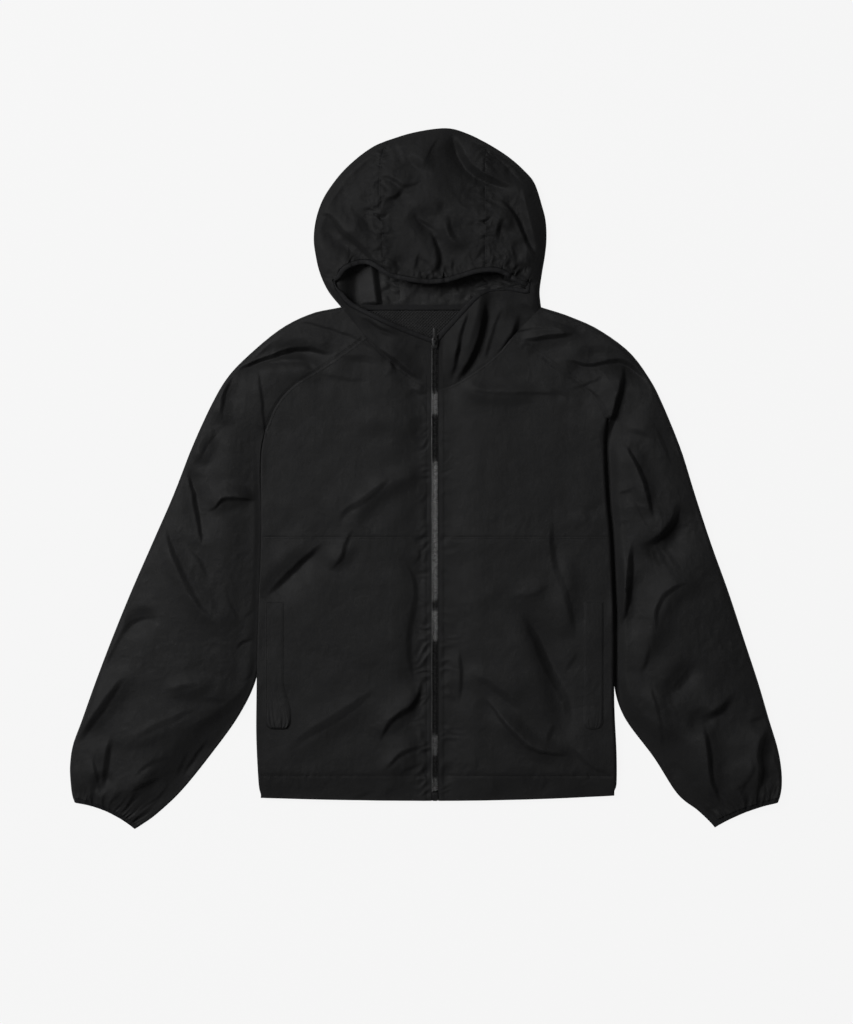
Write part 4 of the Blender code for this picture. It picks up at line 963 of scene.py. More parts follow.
def lower_front_plan(side):
    """Rows from the hem up, columns from the zip to the side."""
    step = FINE / LOWER_WIDTH
    fractions = np.concatenate([filled((0, SIDE_SHARE), step)[:-1],
                                filled((SIDE_SHARE, 1), SIDE_CLOSER * step)])
    rows = []
    for y in filled((HEM_CENTER_Y, CHEST_SEAM_Y), FINE):
        edge = side_x(side, y)
        columns = ZIP_HALF_OPENING + fractions * (edge - ZIP_HALF_OPENING)
        drop = (SIDE_HEM_Y[side] - HEM_CENTER_Y) * (columns / edge) ** 2
        fade = 1 - smooth_step((y - HEM_CENTER_Y) / HEM_CORNER_RISE)
        rows.append(np.stack([SIDES[side] * columns, y + drop * fade], -1))
    return np.array(rows)


def upper_front_plan(side):
    """Rows from the chest seam to the neck and raglan seams."""
    neck = NECK_LINES[side]
    high = np.vstack([neck, RAGLAN_LINES[side][1:]])
    length = length_of(high)
    share = length_of(neck) / length
    edge = side_x(side, CHEST_SEAM_Y)
    fractions = filled((0, share, 1), FINE / length)
    low_stops = np.interp(fractions, (0, share, 1), (ZIP_HALF_OPENING, CHEST_STOP_X, edge))
    low = np.stack([SIDES[side] * low_stops, np.full(len(fractions), CHEST_SEAM_Y)], -1)
    steps = filled((0, 1), FINE / UPPER_LENGTH)
    plan = ruled(low, at_lengths(high, fractions * length), steps).swapaxes(0, 1)
    outward = SIDES[side] * side_x(side, plan[:, -1, 1]) - plan[:, -1, 0]
    from_side = edge - low_stops
    plan[..., 0] += outward[:, None] * (1 - smooth_step(from_side / SIDE_EASE))
    return plan


def make_fronts(finishes):
    for side, sign in SIDES.items():
        lower = raised_front(side, lower_front_plan(side))
        upper = raised_front(side, upper_front_plan(side))
        cloth(f"front_lower_{side}", trimmed(lower, last_row=True), finishes,
              flip=sign < 0)
        cloth(f"front_upper_{side}", trimmed(upper, first_row=True, last_row=True), finishes,
              flip=sign < 0)
        make_welt(side, finishes)


WELT = {"right": (201, 225), "left": (197, 223)}     # x of its near and far edges
WELT_LOW_Y = -331.0
WELT_HIGH_Y = -161.0
WELT_STEP = 1.0
WELT_WIDTH = 30.0
WELT_WALL = 0.35
WELT_LAID = 0.1         # clearance over the front
WELT_POUCH = {"right": 10.0, "left": 1.0}       # how much wider the gathered lower end is
WELT_POUCH_TOP = (20.0, 45.0)   # from its lower end to where it narrows, and over which length
WELT_CORNER = 11.0      # radius of its lower corners
WELT_LOW_END = 18.0     # over which the gathers die out
WELT_PLEAT = (0.1, 4.6)         # a share of their height along the welt, and their pitch
WELT_EDGE = (3.0, 4.0)          # the swell and the pleats start this far inside the edge
WELT_THICK = 0.4
WELT_PUCKER = {"right": 1.9, "left": 0.5}       # height of its pleats
WELT_SWELL = {"right": 2.4, "left": 0.4}        # how much thicker its lower end is


def make_welt(side, finishes):
    """The pocket welt, laid on the front, with its gathered lower end."""
    y = filled((WELT_LOW_Y, WELT_HIGH_Y), WELT_STEP)
    from_low = y - WELT_LOW_Y
    rounding = np.maximum(WELT_CORNER - from_low, 0)
    rounding = WELT_CORNER - np.sqrt(WELT_CORNER ** 2 - rounding ** 2)
    near, far = WELT[side]
    start, reach = WELT_POUCH_TOP
    near = near - WELT_POUCH[side] * (1 - smooth_step((from_low - start) / reach)) + rounding
    far = far - rounding
    shares = filled((0, 1), WELT_STEP / WELT_WIDTH)
    across = near[:, None] + shares * (far - near)[:, None]
    plan = np.stack([SIDES[side] * across, y[:, None] + 0 * across], -1)
    grid = raised_front(side, plan)
    from_edge = np.minimum(shares, 1 - shares) * (far - near)[:, None]
    inset = np.minimum(np.minimum(from_low, WELT_HIGH_Y - y)[:, None], from_edge)
    low_end = np.exp(-from_low / WELT_LOW_END)[:, None]
    run, pitch = WELT_PLEAT
    pleats = ridges(WELT_WIDTH * shares + 0 * inset, run * plan[..., 1], pitch, 31)
    swell_edge, pleat_edge = WELT_EDGE
    swell = WELT_THICK + WELT_SWELL[side] * low_end
    grid[..., 2] += WELT_WALL + WELT_LAID + swell * smooth_step(inset / swell_edge)
    grid[..., 2] += WELT_PUCKER[side] * pleats * low_end * smooth_step(inset / pleat_edge)
    cloth(f"pocket_welt_{side}", grid, finishes, WELT_WALL, flip=SIDES[side] < 0)


BACK_DENTS = 1.6        # shallow dents in what rests on the surface
BACK_DENT_SIZE = 24.0
BACK_DENT_INSET = 30.0
BACK_SIDE_ROWS = (66, 30, 42)   # up to the chest seam's level, the armpit and the neck


def back_rest(x, y):
    """The underside of the back, with its dents."""
    dents = 0.5 * (1 + noise(x, y, BACK_DENT_SIZE, 41))
    dents = dents * smooth_step(distance_to(OUTLINE, x, y) / BACK_DENT_INSET)
    return np.maximum(back_under(x, y), BACK_DENTS * dents ** 3)


def make_back(finishes):
    """Rows from the hem up to the back neck, columns from the right side to the left."""
    ends = {}
    low, high, seam = BACK_SIDE_ROWS
    for side, sign in SIDES.items():
        heights = np.concatenate([np.linspace(SIDE_HEM_Y[side], CHEST_SEAM_Y, low)[:-1],
                                  np.linspace(CHEST_SEAM_Y, ARMPIT_Y[side], high)[:-1]])
        edge = sign * (side_x(side, heights) - BACK_EDGE_INSET)
        raglan = at_fractions(RAGLAN_BACK_LINES[side], np.linspace(0, 1, seam))[::-1]
        raglan[0, 0] -= sign * BACK_EDGE_INSET
        ends[side] = np.vstack([np.stack([edge, heights], -1), raglan])
    plan = ruled(ends["right"], ends["left"], filled((0, 1), COARSE / BACK_WIDTH))
    grid = trimmed(raised(plan, back_rest), last_row=True, first_column=True, last_column=True)
    cloth("back_panel", grid, finishes, flip=True)


# ---------------------------------------------------------------- sleeves

SLEEVE_STEP = 1.9
SHOULDER_LENGTH = 200.0
BESIDE = -0.5           # a sleeve's inner edge from the side seam, above where it tucks under
SLEEVE_TOP_COLUMNS = 106
UNDER_COLUMNS = 26
CUFF_GATHER = 2.6
CUFF_GATHER_REACH = 50.0
CUFF_GATHERS = 11       # across a cuff
CUFF_PITCH = 10.0
CUFF_RUN = 0.22         # below 1, the gathers are long up the sleeve
CUFF_SMALL = (0.4, 1.9)         # height and number of the small ones, in the large ones'
CUFF_FADE_POWER = 1.5
CUFF_CALM = 9.0         # they come in over this distance from the sleeve's folds
CUFF_WANDER = (3.0, 26.0)       # height and size of the noise that bends the gathers
CUFF_ROWS = 7
CUFF_RIPPLE = 0.35      # of the gathers' height that the elastic keeps
FREE_REACH = 40.0       # distance from the body over which a sleeve's edge comes to lie flat
FREE_DROP = 0.8         # of the inner edge's top, where a sleeve lies free
FREE_RISE = 60.0
INNER_EASE = 50.0       # a sleeve swells slowly from its inner edge
OUTER_CALM = 9.0        # the relief comes in over this distance from the outer fold
INNER_CALM = (3.0, 14.0)        # and from here over this distance from the inner edge
DENT_INSET = 25.0


# A section's outer, front and back points, its swell, its distances along the sleeve from the
# armpit and from the cuff's edge, and how free of the body it lies
Section = namedtuple("Section", "outer front back puff from_armpit to_cuff free")


def sleeve_sections(side):
    """The sections from the neck to the cuff's edge, and how many lie on the raglan seam."""
    steps = filled((0, 1), SLEEVE_STEP / SHOULDER_LENGTH)
    lines = [at_fractions(line, steps) for line in (
        smooth_curve(SHOULDER[side]), RAGLAN_LINES[side], RAGLAN_BACK_LINES[side])]
    puffs = SLEEVE[side][0].puff * smooth_step(steps)
    stations = smooth_curve(SLEEVE[side])
    along = lengths_along(stations[:, :2])
    length = along[-1]
    sections = [Section(*points, 0.0, length, 0.0) for points in zip(*lines, puffs)]
    last = length - CUFF_WIDTH - CUFF_GAP
    places = np.append(filled((0, last), SLEEVE_STEP)[1:],
                       np.linspace(length - CUFF_WIDTH, length, CUFF_ROWS))
    for place in places:
        station = np.array([np.interp(place, along, column) for column in stations.T])
        inner = station[2:4].copy()
        tucked = smooth_step((place - TUCK_START) / TUCK_REACH)
        beside_body = side_x(side, inner[1]) + BESIDE - (TUCK + BESIDE) * tucked
        free = smooth_step((abs(inner[0]) - beside_body) / FREE_REACH)
        inner[0] = SIDES[side] * max(abs(inner[0]), beside_body)
        sections.append(Section(station[:2], inner, inner, station[4], place, length - place,
                                free))
    return sections, len(steps)


def bowed(side, section, inner, plan):
    """A section's points, arched up into the sleeve by the cuff."""
    run = inner - section.outer
    across = np.clip((plan - section.outer) @ run / (run @ run), 0, 1)
    upward = np.array((-run[1], run[0])) / np.linalg.norm(run)
    upward *= np.sign(upward[1])
    bow = CUFF_BOW[side] * (1 - smooth_step(section.to_cuff / CUFF_BOW_REACH))
    return plan + (bow * 4 * across * (1 - across))[:, None] * upward


def near_cuff(to_cuff):
    return 1 - smooth_step(to_cuff / CUFF_GATHER_REACH)


def cuff_gathers(over, across, to_cuff):
    """Uneven pleats that run up from the elastic, with sharp crests."""
    up = over * 0 + to_cuff
    place = CUFF_PITCH * CUFF_GATHERS * over / across
    height, size = CUFF_WANDER
    place = place + height * noise(over, up, size, 51)
    large = ridges(place, CUFF_RUN * up, CUFF_PITCH, 52)
    share, number = CUFF_SMALL
    small = ridges(number * place, 0.5 * up, CUFF_PITCH, 53)
    inset = np.minimum(over, across - over)
    return (CUFF_GATHER * (large + share * small) * near_cuff(to_cuff) ** CUFF_FADE_POWER
            * smooth_step(inset / CUFF_CALM))


def inner_edge(section):
    """Height of a sleeve's inner edge, lower away from the armpit."""
    return (ARMPIT_HEIGHT
            + (TUCK_HEIGHT - ARMPIT_HEIGHT) * min(1, section.from_armpit / ARMPIT_REACH))


def closure(section):
    """0 where the sleeve is sewn to the body, 1 where it has an inner edge of its own."""
    return min(1, section.from_armpit / CLOSING)


def sleeve_relief(side, section, inside, x, y):
    """Creases and crinkles, less at the outer fold, the inner edge and the cuff."""
    closed = closure(section)
    start, reach = INNER_CALM
    loose = smooth_step(distance_to(OUTLINE, x, y) / OUTER_CALM)
    loose = loose * (1 - 0.5 * near_cuff(section.to_cuff))
    loose *= 1 - closed * (1 - smooth_step((inside - start) / reach))
    relief = (surface_relief(x, y, SLEEVE_CRINKLE)
              + band_heights(SLEEVE_BANDS + SHOULDER_BANDS, x, y))
    return loose * relief + seam_heights(RAGLAN, RAGLAN_LINES[side], x, y) * (1 - closed)


def sleeve_over(side, section, over, plan):
    """The top of a section, from its outer fold to the raglan seam or its inner edge."""
    x, y = plan.T
    inside = over[-1] - over
    closed = closure(section)
    bulge = section.puff * np.sin(np.pi * np.clip(inside / over[-1], 0, 1)) ** PUFF_POWER
    bulge = bulge * (1 - closed * (1 - smooth_step(inside / INNER_EASE)))
    plateau = ZIP_HEIGHT + BODY_PUFF
    full = plateau + bulge + fold_heights(FOLDS, x, y)
    seam = body_top(side, section.front[:1], section.front[1:], ())[0]
    open_top = full + (seam - plateau) * (1 - smooth_step(inside / ARMPIT_EASE))
    edge = inner_edge(section)
    tuck_top = edge + (TUCK_TOP[side] - TUCK_HEIGHT) * (1 - FREE_DROP * section.free)
    reach = SLEEVE_RISE[side] + (FREE_RISE - SLEEVE_RISE[side]) * section.free
    rise = smooth_step((inside - TUCK_ROLL[side]) / reach)
    closed_top = (edge + (tuck_top - edge) * roll(inside, TUCK_ROLL[side])
                  + (full - tuck_top) * rise)
    gathers = cuff_gathers(over, over[-1], section.to_cuff)
    relief = sleeve_relief(side, section, inside, x, y)
    if section.to_cuff <= CUFF_WIDTH:
        relief = relief * 0
        gathers = gathers * CUFF_RIPPLE
    return over_fold(open_top + (closed_top - open_top) * closed + gathers + relief, x, y)


def sleeve_under(section, under, across, plan):
    """The back of a section, which rests on the surface."""
    x, y = plan.T
    edge = inner_edge(section)
    open_under = back_under(x, y) * (1 - smooth_step(under / (2 * BACK_ROLL)))
    closed_under = edge * (1 - roll(under, UNDER_RISE * edge))
    lifted = open_under + (closed_under - open_under) * closure(section)
    dents = BACK_DENTS * dimples(x, y, BACK_DENT_SIZE, 42) ** 3
    dents *= smooth_step(under / DENT_INSET) * smooth_step((across - under) / DENT_INSET)
    return np.maximum(np.maximum(under_fold(x, y), lifted), dents)


def sleeve_row(side, section):
    """One section: across the back from the underarm, round the outer fold, over the front."""
    outer, front, back = section[:3]
    across_back = np.linalg.norm(outer - back)
    across = np.linalg.norm(outer - front)
    rolls = SLEEVE_ROLL * ROLL_PLACES
    tucks = TUCK_ROLL[side] * ROLL_PLACES[::2]
    under = np.concatenate([[0], tucks,
                            np.linspace(tucks[-1], across_back - rolls[-1], UNDER_COLUMNS)[1:-1],
                            across_back - rolls[::-1]])
    over = np.concatenate([[0], rolls,
                           np.linspace(rolls[-1], across - tucks[-1], SLEEVE_TOP_COLUMNS)[1:-1],
                           across - tucks[::-1], [across]])
    under_plan = bowed(side, section, back, between(back, outer, under / across_back))
    over_plan = bowed(side, section, front, between(outer, front, over / across))
    return np.vstack([level(under_plan, sleeve_under(section, under, across_back, under_plan)),
                      level(over_plan, sleeve_over(side, section, over, over_plan))])


def make_sleeves(finishes, elastic):
    for side, sign in SIDES.items():
        sections, upper_rows = sleeve_sections(side)
        rows = np.array([sleeve_row(side, section) for section in sections])
        sleeve = rows[:-CUFF_ROWS].copy()
        sleeve[:upper_rows] = trimmed(sleeve[:upper_rows], first_row=True, first_column=True,
                                      last_column=True)
        cloth(f"sleeve_{side}", sleeve, finishes, flip=sign < 0,
              nodes=(f"sleeve_{side}_front", f"sleeve_{side}_back"))
        cuff = rows[-CUFF_ROWS:]
        cloth(f"cuff_{side}", cuff, elastic, CUFF_WALL, flip=sign < 0,
              nodes=(f"cuff_{side}_front", f"cuff_{side}_back"))


# ---------------------------------------------------------------- hood

HOOD_STEP = 1.75
HOOD_SEAMS = Seam(0.6, 8.0, 8.0, 9.0, 26)
HOOD_GATHERS = Seam(0.0, 7.0, 6.5, 12.0, 27)    # at the front edge
HOOD_CALM = 10.0        # the relief comes in over this distance from the outer fold
HOOD_DENT = (0.8, 26.0)         # height and size of the dents in its back
HOOD_BACK_CALM = 14.0
INNER_WRINKLE = 3.4     # height, size and proportions of the wrinkles inside the opening
INNER_SIZE = 14.0
INNER_STRETCH = 0.6
INNER_START = (6.0, 9.0)        # they start this far from the fold, over this distance
VOID_X = -104.0         # end of the dark hollow inside the opening
VOID_WALL = 14.0        # rise of its outer side
VOID_REACH = 24.0
RIDGE = 8.0             # height of the fold beside it
RIDGE_X = -77.5
RIDGE_LEAN = 0.13
RIDGE_REACH = (20.0, 8.0)       # to the right and to the left of its crest
SHOWN_END_Y = 285.0     # the hood's back shows up to here inside the opening
SHOWN_FADE = 15.0
SHOWN_START = (2.0, 5.0)        # from this far above the neck seam, over this distance
TOP_LENGTH = 185.0      # along the centre strip, from the crown to the front edge
BACK_LENGTH = 232.0     # and from the crown to the back neck
HOOD_WIDTH = 140.0
BACK_STEP = 4.0
HOOD_EDGE_LINE = np.vstack([HOOD_EDGE_LINES["right"], smooth_curve(HOOD_EDGE_CENTER)[1:],
                            HOOD_EDGE_LINES["left"][::-1][1:]])


def hood_top(x, y):
    """Top of the hood: its bulge, creases, and the gathers at its seams and front edge."""
    inset = distance_to(OUTLINE, x, y)
    rise = 1 - (1 - np.clip(inset / HOOD_BULGE_REACH, 0, 1)) ** 2
    relief = surface_relief(x, y, HOOD_CRINKLE) + HOOD_STEEP * band_heights(HOOD_BANDS, x, y)
    for line in HOOD_SEAM_LINES.values():
        relief += seam_heights(HOOD_SEAMS, line, x, y)
    relief += seam_heights(HOOD_GATHERS, HOOD_EDGE_LINE, x, y)
    relief *= smooth_step(inset / HOOD_CALM)
    plateau = ZIP_HEIGHT + BODY_PUFF + HOOD_BULGE * rise + fold_heights(HOOD_FOLDS, x, y)
    return over_fold(plateau + relief, x, y)


def hood_under(x, y):
    """The hood's back, which rests on the surface; its wrinkles show inside the opening."""
    start, ease = INNER_START
    inner = band_heights(INNER_BANDS, x, y)
    inner += (INNER_WRINKLE * np.abs(noise(x, y, INNER_SIZE, 44, INNER_STRETCH))
              * smooth_step((x - RIDGE_X - start) / ease))
    inner += VOID_WALL * smooth_step((VOID_X - x) / VOID_REACH)
    from_ridge = x - RIDGE_X + RIDGE_LEAN * (y - NECK_Y)
    right, left = RIDGE_REACH
    inner += RIDGE * np.clip(1 - np.where(from_ridge < 0, -from_ridge / right,
                                          from_ridge / left), 0, 1)
    shown = 1 - smooth_step((y - SHOWN_END_Y) / SHOWN_FADE)
    height, size = HOOD_DENT
    dents = height * dimples(x, y, size, 43) ** 2 * (y > NECK_Y)
    start, ease = SHOWN_START
    lifted = (dents + shown * inner) * smooth_step((y - NECK_Y - start) / ease)
    inset = distance_to(OUTLINE, x, y)
    return np.maximum(under_fold(x, y), lifted * smooth_step(inset / HOOD_BACK_CALM))


def patch(top, bottom, right, left):
    """A grid in plan inside four lines that meet at its corners."""
    across = np.linspace(0, 1, len(top))[None, :, None]
    down = np.linspace(0, 1, len(right))[:, None, None]
    corners = ((1 - down) * ((1 - across) * top[0] + across * top[-1])
               + down * ((1 - across) * bottom[0] + across * bottom[-1]))
    return ((1 - down) * top + down * bottom + (1 - across) * right[:, None]
            + across * left[:, None] - corners)


def make_hood_center(finishes):
    """Rows from the front edge over the crown and down to the back neck."""
    columns = filled((0, 1), HOOD_STEP / HOOD_WIDTH)
    crown = at_fractions(smooth_curve(CROWN), columns)
    edge = at_fractions(smooth_curve(HOOD_EDGE_CENTER), columns)
    rolls = HOOD_ROLL * ROLL_PLACES
    places = np.concatenate([[0], rolls, filled((HOOD_ROLL, TOP_LENGTH), HOOD_STEP)[1:]])
    right, left = (at_fractions(line, places / places[-1]) for line in HOOD_SEAM_LINES.values())
    top = patch(crown, edge, right, left)[::-1]
    neck = between((-HOOD_BACK_SEAM_X, NECK_Y), (HOOD_BACK_SEAM_X, NECK_Y), columns)
    down = np.concatenate([[0], rolls / BACK_LENGTH,
                           filled((HOOD_ROLL / BACK_LENGTH, 1), BACK_STEP / BACK_LENGTH)[1:]])
    under = ruled(crown, neck, down).swapaxes(0, 1)[1:]
    grid = trimmed(np.vstack([raised(top, hood_top), raised(under, hood_under)]),
                   last_row=True, first_column=True, last_column=True)
    cloth("hood_center", grid, finishes, lined=True)
    return grid[0]


DOME_ROWS = 104
OPENING_ROWS = 6
CHIN_ROWS = 34
CHIN_FIRST = DOME_ROWS + OPENING_ROWS - 1       # row on the chin's free edge
SIDE_TOP_COLUMNS = 66
SIDE_UNDER_COLUMNS = 46
WRAP_SHARE = 0.32       # of the roll, from the crown to the top seam's first row
EDGE_PULL = 5           # power at which the dome's rows bend to the front edge


def roll_then(length, count):
    """Places along a row: round the outer fold, then even ones."""
    rolls = HOOD_ROLL * ROLL_PLACES * min(1, 0.5 * length / HOOD_ROLL)
    return np.concatenate([rolls, np.linspace(rolls[-1], length, count + 1)[1:]])


def along_top(line):
    return at_lengths(line, roll_then(length_of(line), SIDE_TOP_COLUMNS))


def hood_side_lines(side):
    """Lines down the side panel: on the back seam, the outer fold and the top seam."""
    outline = smooth_curve(HOOD_OUTLINE[side])
    along = lengths_along(outline)
    dome_end, chin_start = (
        along[np.argmin(np.linalg.norm(outline - edge[side][0], axis=1))]
        for edge in (HOOD_EDGE, CHIN_EDGE))
    folds = np.concatenate([np.linspace(0, dome_end, DOME_ROWS),
                            np.linspace(dome_end, chin_start, OPENING_ROWS + 1)[1:-1],
                            np.linspace(chin_start, along[-1], CHIN_ROWS)])
    back_seam = between(outline[0], (SIDES[side] * HOOD_BACK_SEAM_X, NECK_Y),
                        np.linspace(CROWN_SHARE, 1, len(folds)))
    seam = HOOD_SEAM_LINES[side]
    seam_places = np.linspace(HOOD_ROLL * WRAP_SHARE, length_of(seam), DOME_ROWS)
    return at_lengths(outline, folds), back_seam, at_lengths(seam, seam_places)


def side_top_plan(side, fold_points, seam_points):
    """Rows over the dome, the opening, which has no cloth, and the chin."""
    edge = along_top(smooth_curve((fold_points[DOME_ROWS - 1], *HOOD_EDGE[side][1:])))
    chin = along_top(smooth_curve((fold_points[CHIN_FIRST], *CHIN_EDGE[side][1:])))
    neck = along_top(np.vstack([fold_points[-1], NECK_LINES[side][::-1]]))
    dome = np.array([along_top(np.array(ends)) for ends in zip(fold_points, seam_points)])
    dome += np.linspace(0, 1, DOME_ROWS)[:, None, None] ** EDGE_PULL * (edge - dome[-1])
    opening = chin + np.linspace(1, 0, OPENING_ROWS + 1)[1:-1, None, None] * (edge - chin)
    below = ruled(chin, neck, np.linspace(0, 1, CHIN_ROWS)).swapaxes(0, 1)
    return np.concatenate([dome, opening, below])


def side_top_heights(side, plan):
    x, y = plan[..., 0], plan[..., 1]
    lift = np.concatenate([np.ones(CHIN_FIRST), np.linspace(1, 0, CHIN_ROWS)])[:, None]
    chin = (front_plateau(x, y) + CHIN_LIFT * lift
            + away_from_zip(x) * fold_heights(CHIN_FOLDS, x, y) * lift)
    chin += chin_relief(side, x, y)
    is_dome = (np.arange(len(plan)) < DOME_ROWS)[:, None]
    return np.where(is_dome, hood_top(x, y), over_fold(chin, x, y))


def side_under_row(seam_point, fold_point):
    """Across the side panel's back, from its seam to the outer fold."""
    length = np.linalg.norm(fold_point - seam_point)
    places = length - roll_then(length, SIDE_UNDER_COLUMNS)[::-1]
    return between(seam_point, fold_point, places / length)


def make_hood_side(side, finishes):
    """Rows from the crown down the outer fold to the neck, open at the face."""
    fold_points, back_seam, seam_points = hood_side_lines(side)
    top = side_top_plan(side, fold_points, seam_points)
    under = np.array([side_under_row(*ends) for ends in zip(back_seam, fold_points)])
    middle = level(fold_points[:, None], fold_middle(fold_points[:, 1])[:, None])
    grid = np.concatenate([raised(under, hood_under), middle,
                           level(top, side_top_heights(side, top))], 1)
    grid[0] = crown_row(under.shape[1], top.shape[1], back_seam[0], fold_points[0],
                        seam_points[0])
    grid[:DOME_ROWS] = trimmed(grid[:DOME_ROWS], first_row=True, last_column=True)
    grid = trimmed(grid, last_row=True, first_column=True)
    first = under.shape[1] + len(ROLL_PLACES)
    skipped = np.zeros((grid.shape[0] - 1, grid.shape[1] - 1), bool)
    skipped[DOME_ROWS - 1:CHIN_FIRST, first:] = True
    cloth(f"hood_side_{side}", grid, finishes, flip=side == "right", skipped=skipped,
          lined=True)
    return grid[DOME_ROWS - 1, first:], grid[CHIN_FIRST, first:]


def chin_relief(side, x, y):
    loose = off_zip(x) * smooth_step(distance_to(OUTLINE, x, y) / HOOD_CALM)
    relief = loose * (surface_relief(x, y, BODY_CRINKLE)
                      + band_heights(CHIN_BANDS + SHOULDER_BANDS, x, y))
    return relief + seam_heights(NECK, NECK_LINES[side], x, y)


def crown_row(under_columns, top_columns, back_point, crown_point, seam_point):
    """The first row of a side panel, wrapped round the fold beside the centre strip."""
    under = between(back_point, crown_point, np.linspace(0, 1, under_columns + 1))
    top = between(crown_point, seam_point, np.linspace(0, 1, top_columns + 1))[1:]
    return np.vstack([level(under, under_fold(*under.T)), level(top, hood_top(*top.T))])


BINDING_COLUMNS = 8
BINDING_CROWN = 1.1
BINDING_RIPPLE = 0.45
BINDING_PITCH = 3.6
BINDING_SMOOTHINGS = 8
BINDING_STEP = 1.6
BINDING_LOW = 0.6       # of its borders below its middle
BINDING_ENDS = 3        # points at each end that stop beside the zip
CORNER_REACH = 22.0     # the elastic narrows this near the opening's corners
CORNER_WIDTH = 0.35     # to this share of its width


def make_binding(edges, elastic):
    """The elastic round the face opening, from the zip round both corners and back."""
    rough = np.vstack(edges)
    run = lengths_along(rough)
    corners = run[[len(edges[0]), -len(edges[-1]) - 1]]
    line = at_lengths(rough, filled(run[[0, -1]], BINDING_STEP))
    for _ in range(BINDING_SMOOTHINGS):
        line[1:-1] = (line[:-2] + line[1:-1] + line[2:]) / 3
    along = lengths_along(line)
    away = np.abs(along[:, None] - corners).min(1)
    widening = smooth_step(away / CORNER_REACH)[:, None]
    width = BINDING_WIDTH * (CORNER_WIDTH + (1 - CORNER_WIDTH) * widening)
    rows = []
    for share in np.linspace(0, 1, BINDING_COLUMNS):
        border = shifted(line[:, :2], -(BINDING_GAP + share * width))
        right_end, left_end = border[:BINDING_ENDS, 0], border[-BINDING_ENDS:, 0]
        right_end[:] = np.minimum(right_end, -BINDING_END_X)
        left_end[:] = np.maximum(left_end, BINDING_END_X)
        ripple = BINDING_RIPPLE * noise(along, along * 0 + share, BINDING_PITCH, 28)
        crown = BINDING_CROWN * (1 - (2 * share - 1) ** 4)
        rows.append(level(border, line[:, 2] + BINDING_PROUD - BINDING_LOW + crown + ripple))
    cloth("hood_binding", np.array(rows), elastic, BINDING_WALL, flip=True)


def make_hood(finishes, elastic):
    center_edge = make_hood_center(finishes)
    right_edge, right_chin = make_hood_side("right", finishes)
    left_edge, left_chin = make_hood_side("left", finishes)
    corners = [(chin[:1] + edge[:1]) / 2
               for chin, edge in ((right_chin, right_edge), (left_chin, left_edge))]
    make_binding((right_chin[::-1], corners[0], right_edge[:-1], center_edge,
                  left_edge[:-1][::-1], corners[1], left_chin), elastic)


# ---------------------------------------------------------------- neck trims

NECK_TRIM_TOP = WALL + 0.4 + NECK_TRIM_WALL
NECK_TAPE_HALF_WIDTH = 3.4
NECK_TAPE_HALF_LENGTH = 96.0
NECK_LINING_LOW = (46.0, 168.0)     # x and y of the mesh's lower left corner
NECK_LINING_HIGH = (92.0, 225.0)
STRIP_COLUMNS = 90
STRIP_ROWS = 24
STRIP_WAVE = 22.0       # size of a strip's waves, and their heights
LINING_WAVES = 1.2
NECK_TAPE_WAVES = 0.8


def neck_strip(low_corner, high_corner, waves):
    """A strip with slight waves between two lines from side to side."""
    low, high = (between((-x, y), (x, y), np.linspace(0, 1, STRIP_COLUMNS))
                 for x, y in (low_corner, high_corner))
    plan = ruled(low, high, np.linspace(0, 1, STRIP_ROWS)).swapaxes(0, 1)
    return raised(plan, lambda x, y: NECK_TRIM_TOP + waves * dimples(x, y, STRIP_WAVE, 61))


def make_neck_trims(tape, lining):
    cloth("neck_lining", neck_strip(NECK_LINING_LOW, NECK_LINING_HIGH, LINING_WAVES), lining,
          NECK_TRIM_WALL)
    low, high = ((NECK_TAPE_HALF_LENGTH, NECK_Y + rise)
                 for rise in (-NECK_TAPE_HALF_WIDTH, NECK_TAPE_HALF_WIDTH))
    cloth("back_neck_tape", neck_strip(low, high, NECK_TAPE_WAVES), tape,
          NECK_TRIM_WALL)


# ---------------------------------------------------------------- zip

TAPE_WIDTH = 13.0
TAPE_DROP = 1.0         # of the tape below the fronts' inside
TAPE_START_X = 0.2
TAPE_STEP = 2.5
TAPE_COLUMNS = 9
TAPE_RIB = 0.12
TAPE_RIB_PITCH = 2.4
CHAIN_PROUD = 1.0       # of the teeth over the cloth beside them
CHAIN_TOP = ZIP_TOP - 3.0
ZIP_BOX_TOP = -414.5
TOOTH_PITCH = 2.8
FIRST_TOOTH = 2.2       # of the lowest tooth above the box
TOOTH_BAR = (4.6, 1.0, 1.0)     # across, along and high
TOOTH_HEAD = (1.5, 1.3, 2.0)
TOOTH_FOOT = (1.5, 1.3, 1.9)
TOOTH_BEVEL = 0.24
BAR_BEVEL = 0.45
TILT_AZIMUTH = 150.0    # the side to which the chain tilts
TOOTH_X = 1.0           # of each tooth's middle from the centre line
TOOTH_REACH = 2.0       # of its head and foot from its middle
TILTS = ((-424, 16), (-410, 20), (-398, 19), (-390, 2), (-372, 0), (-364, 19), (-342, 20),
         (-332, 4), (-222, 0), (-212, 18), (-176, 20), (-166, 5), (-158, 18), (-100, 21),
         (20, 20), (30, 3), (82, 0), (90, 20), (112, 20), (122, 0), (178, 0))  # y and degrees
CORD_RADIUS = 0.55
CORD_X = -4.0
CORD_WANDER = 0.25
CORD_WAVE = 40.0
CORD_RINGS = 200
CORD_FACETS = 8
SLIDER_Y = ZIP_TOP + 0.5
SLIDER_HALF_LENGTH = 7.5
ARCH_HALF_WIDTH = 1.0
PLATE = 1.2             # thickness of the slider's plates
TOP_PLATE_Z = ZIP_HEIGHT + CHIN_LIFT + CHAIN_PROUD + 0.6
PIN_Z = TOP_PLATE_Z + PLATE + 1.1
PIN_Y = SLIDER_Y + 1.0
TAB_LENGTH = 19.0


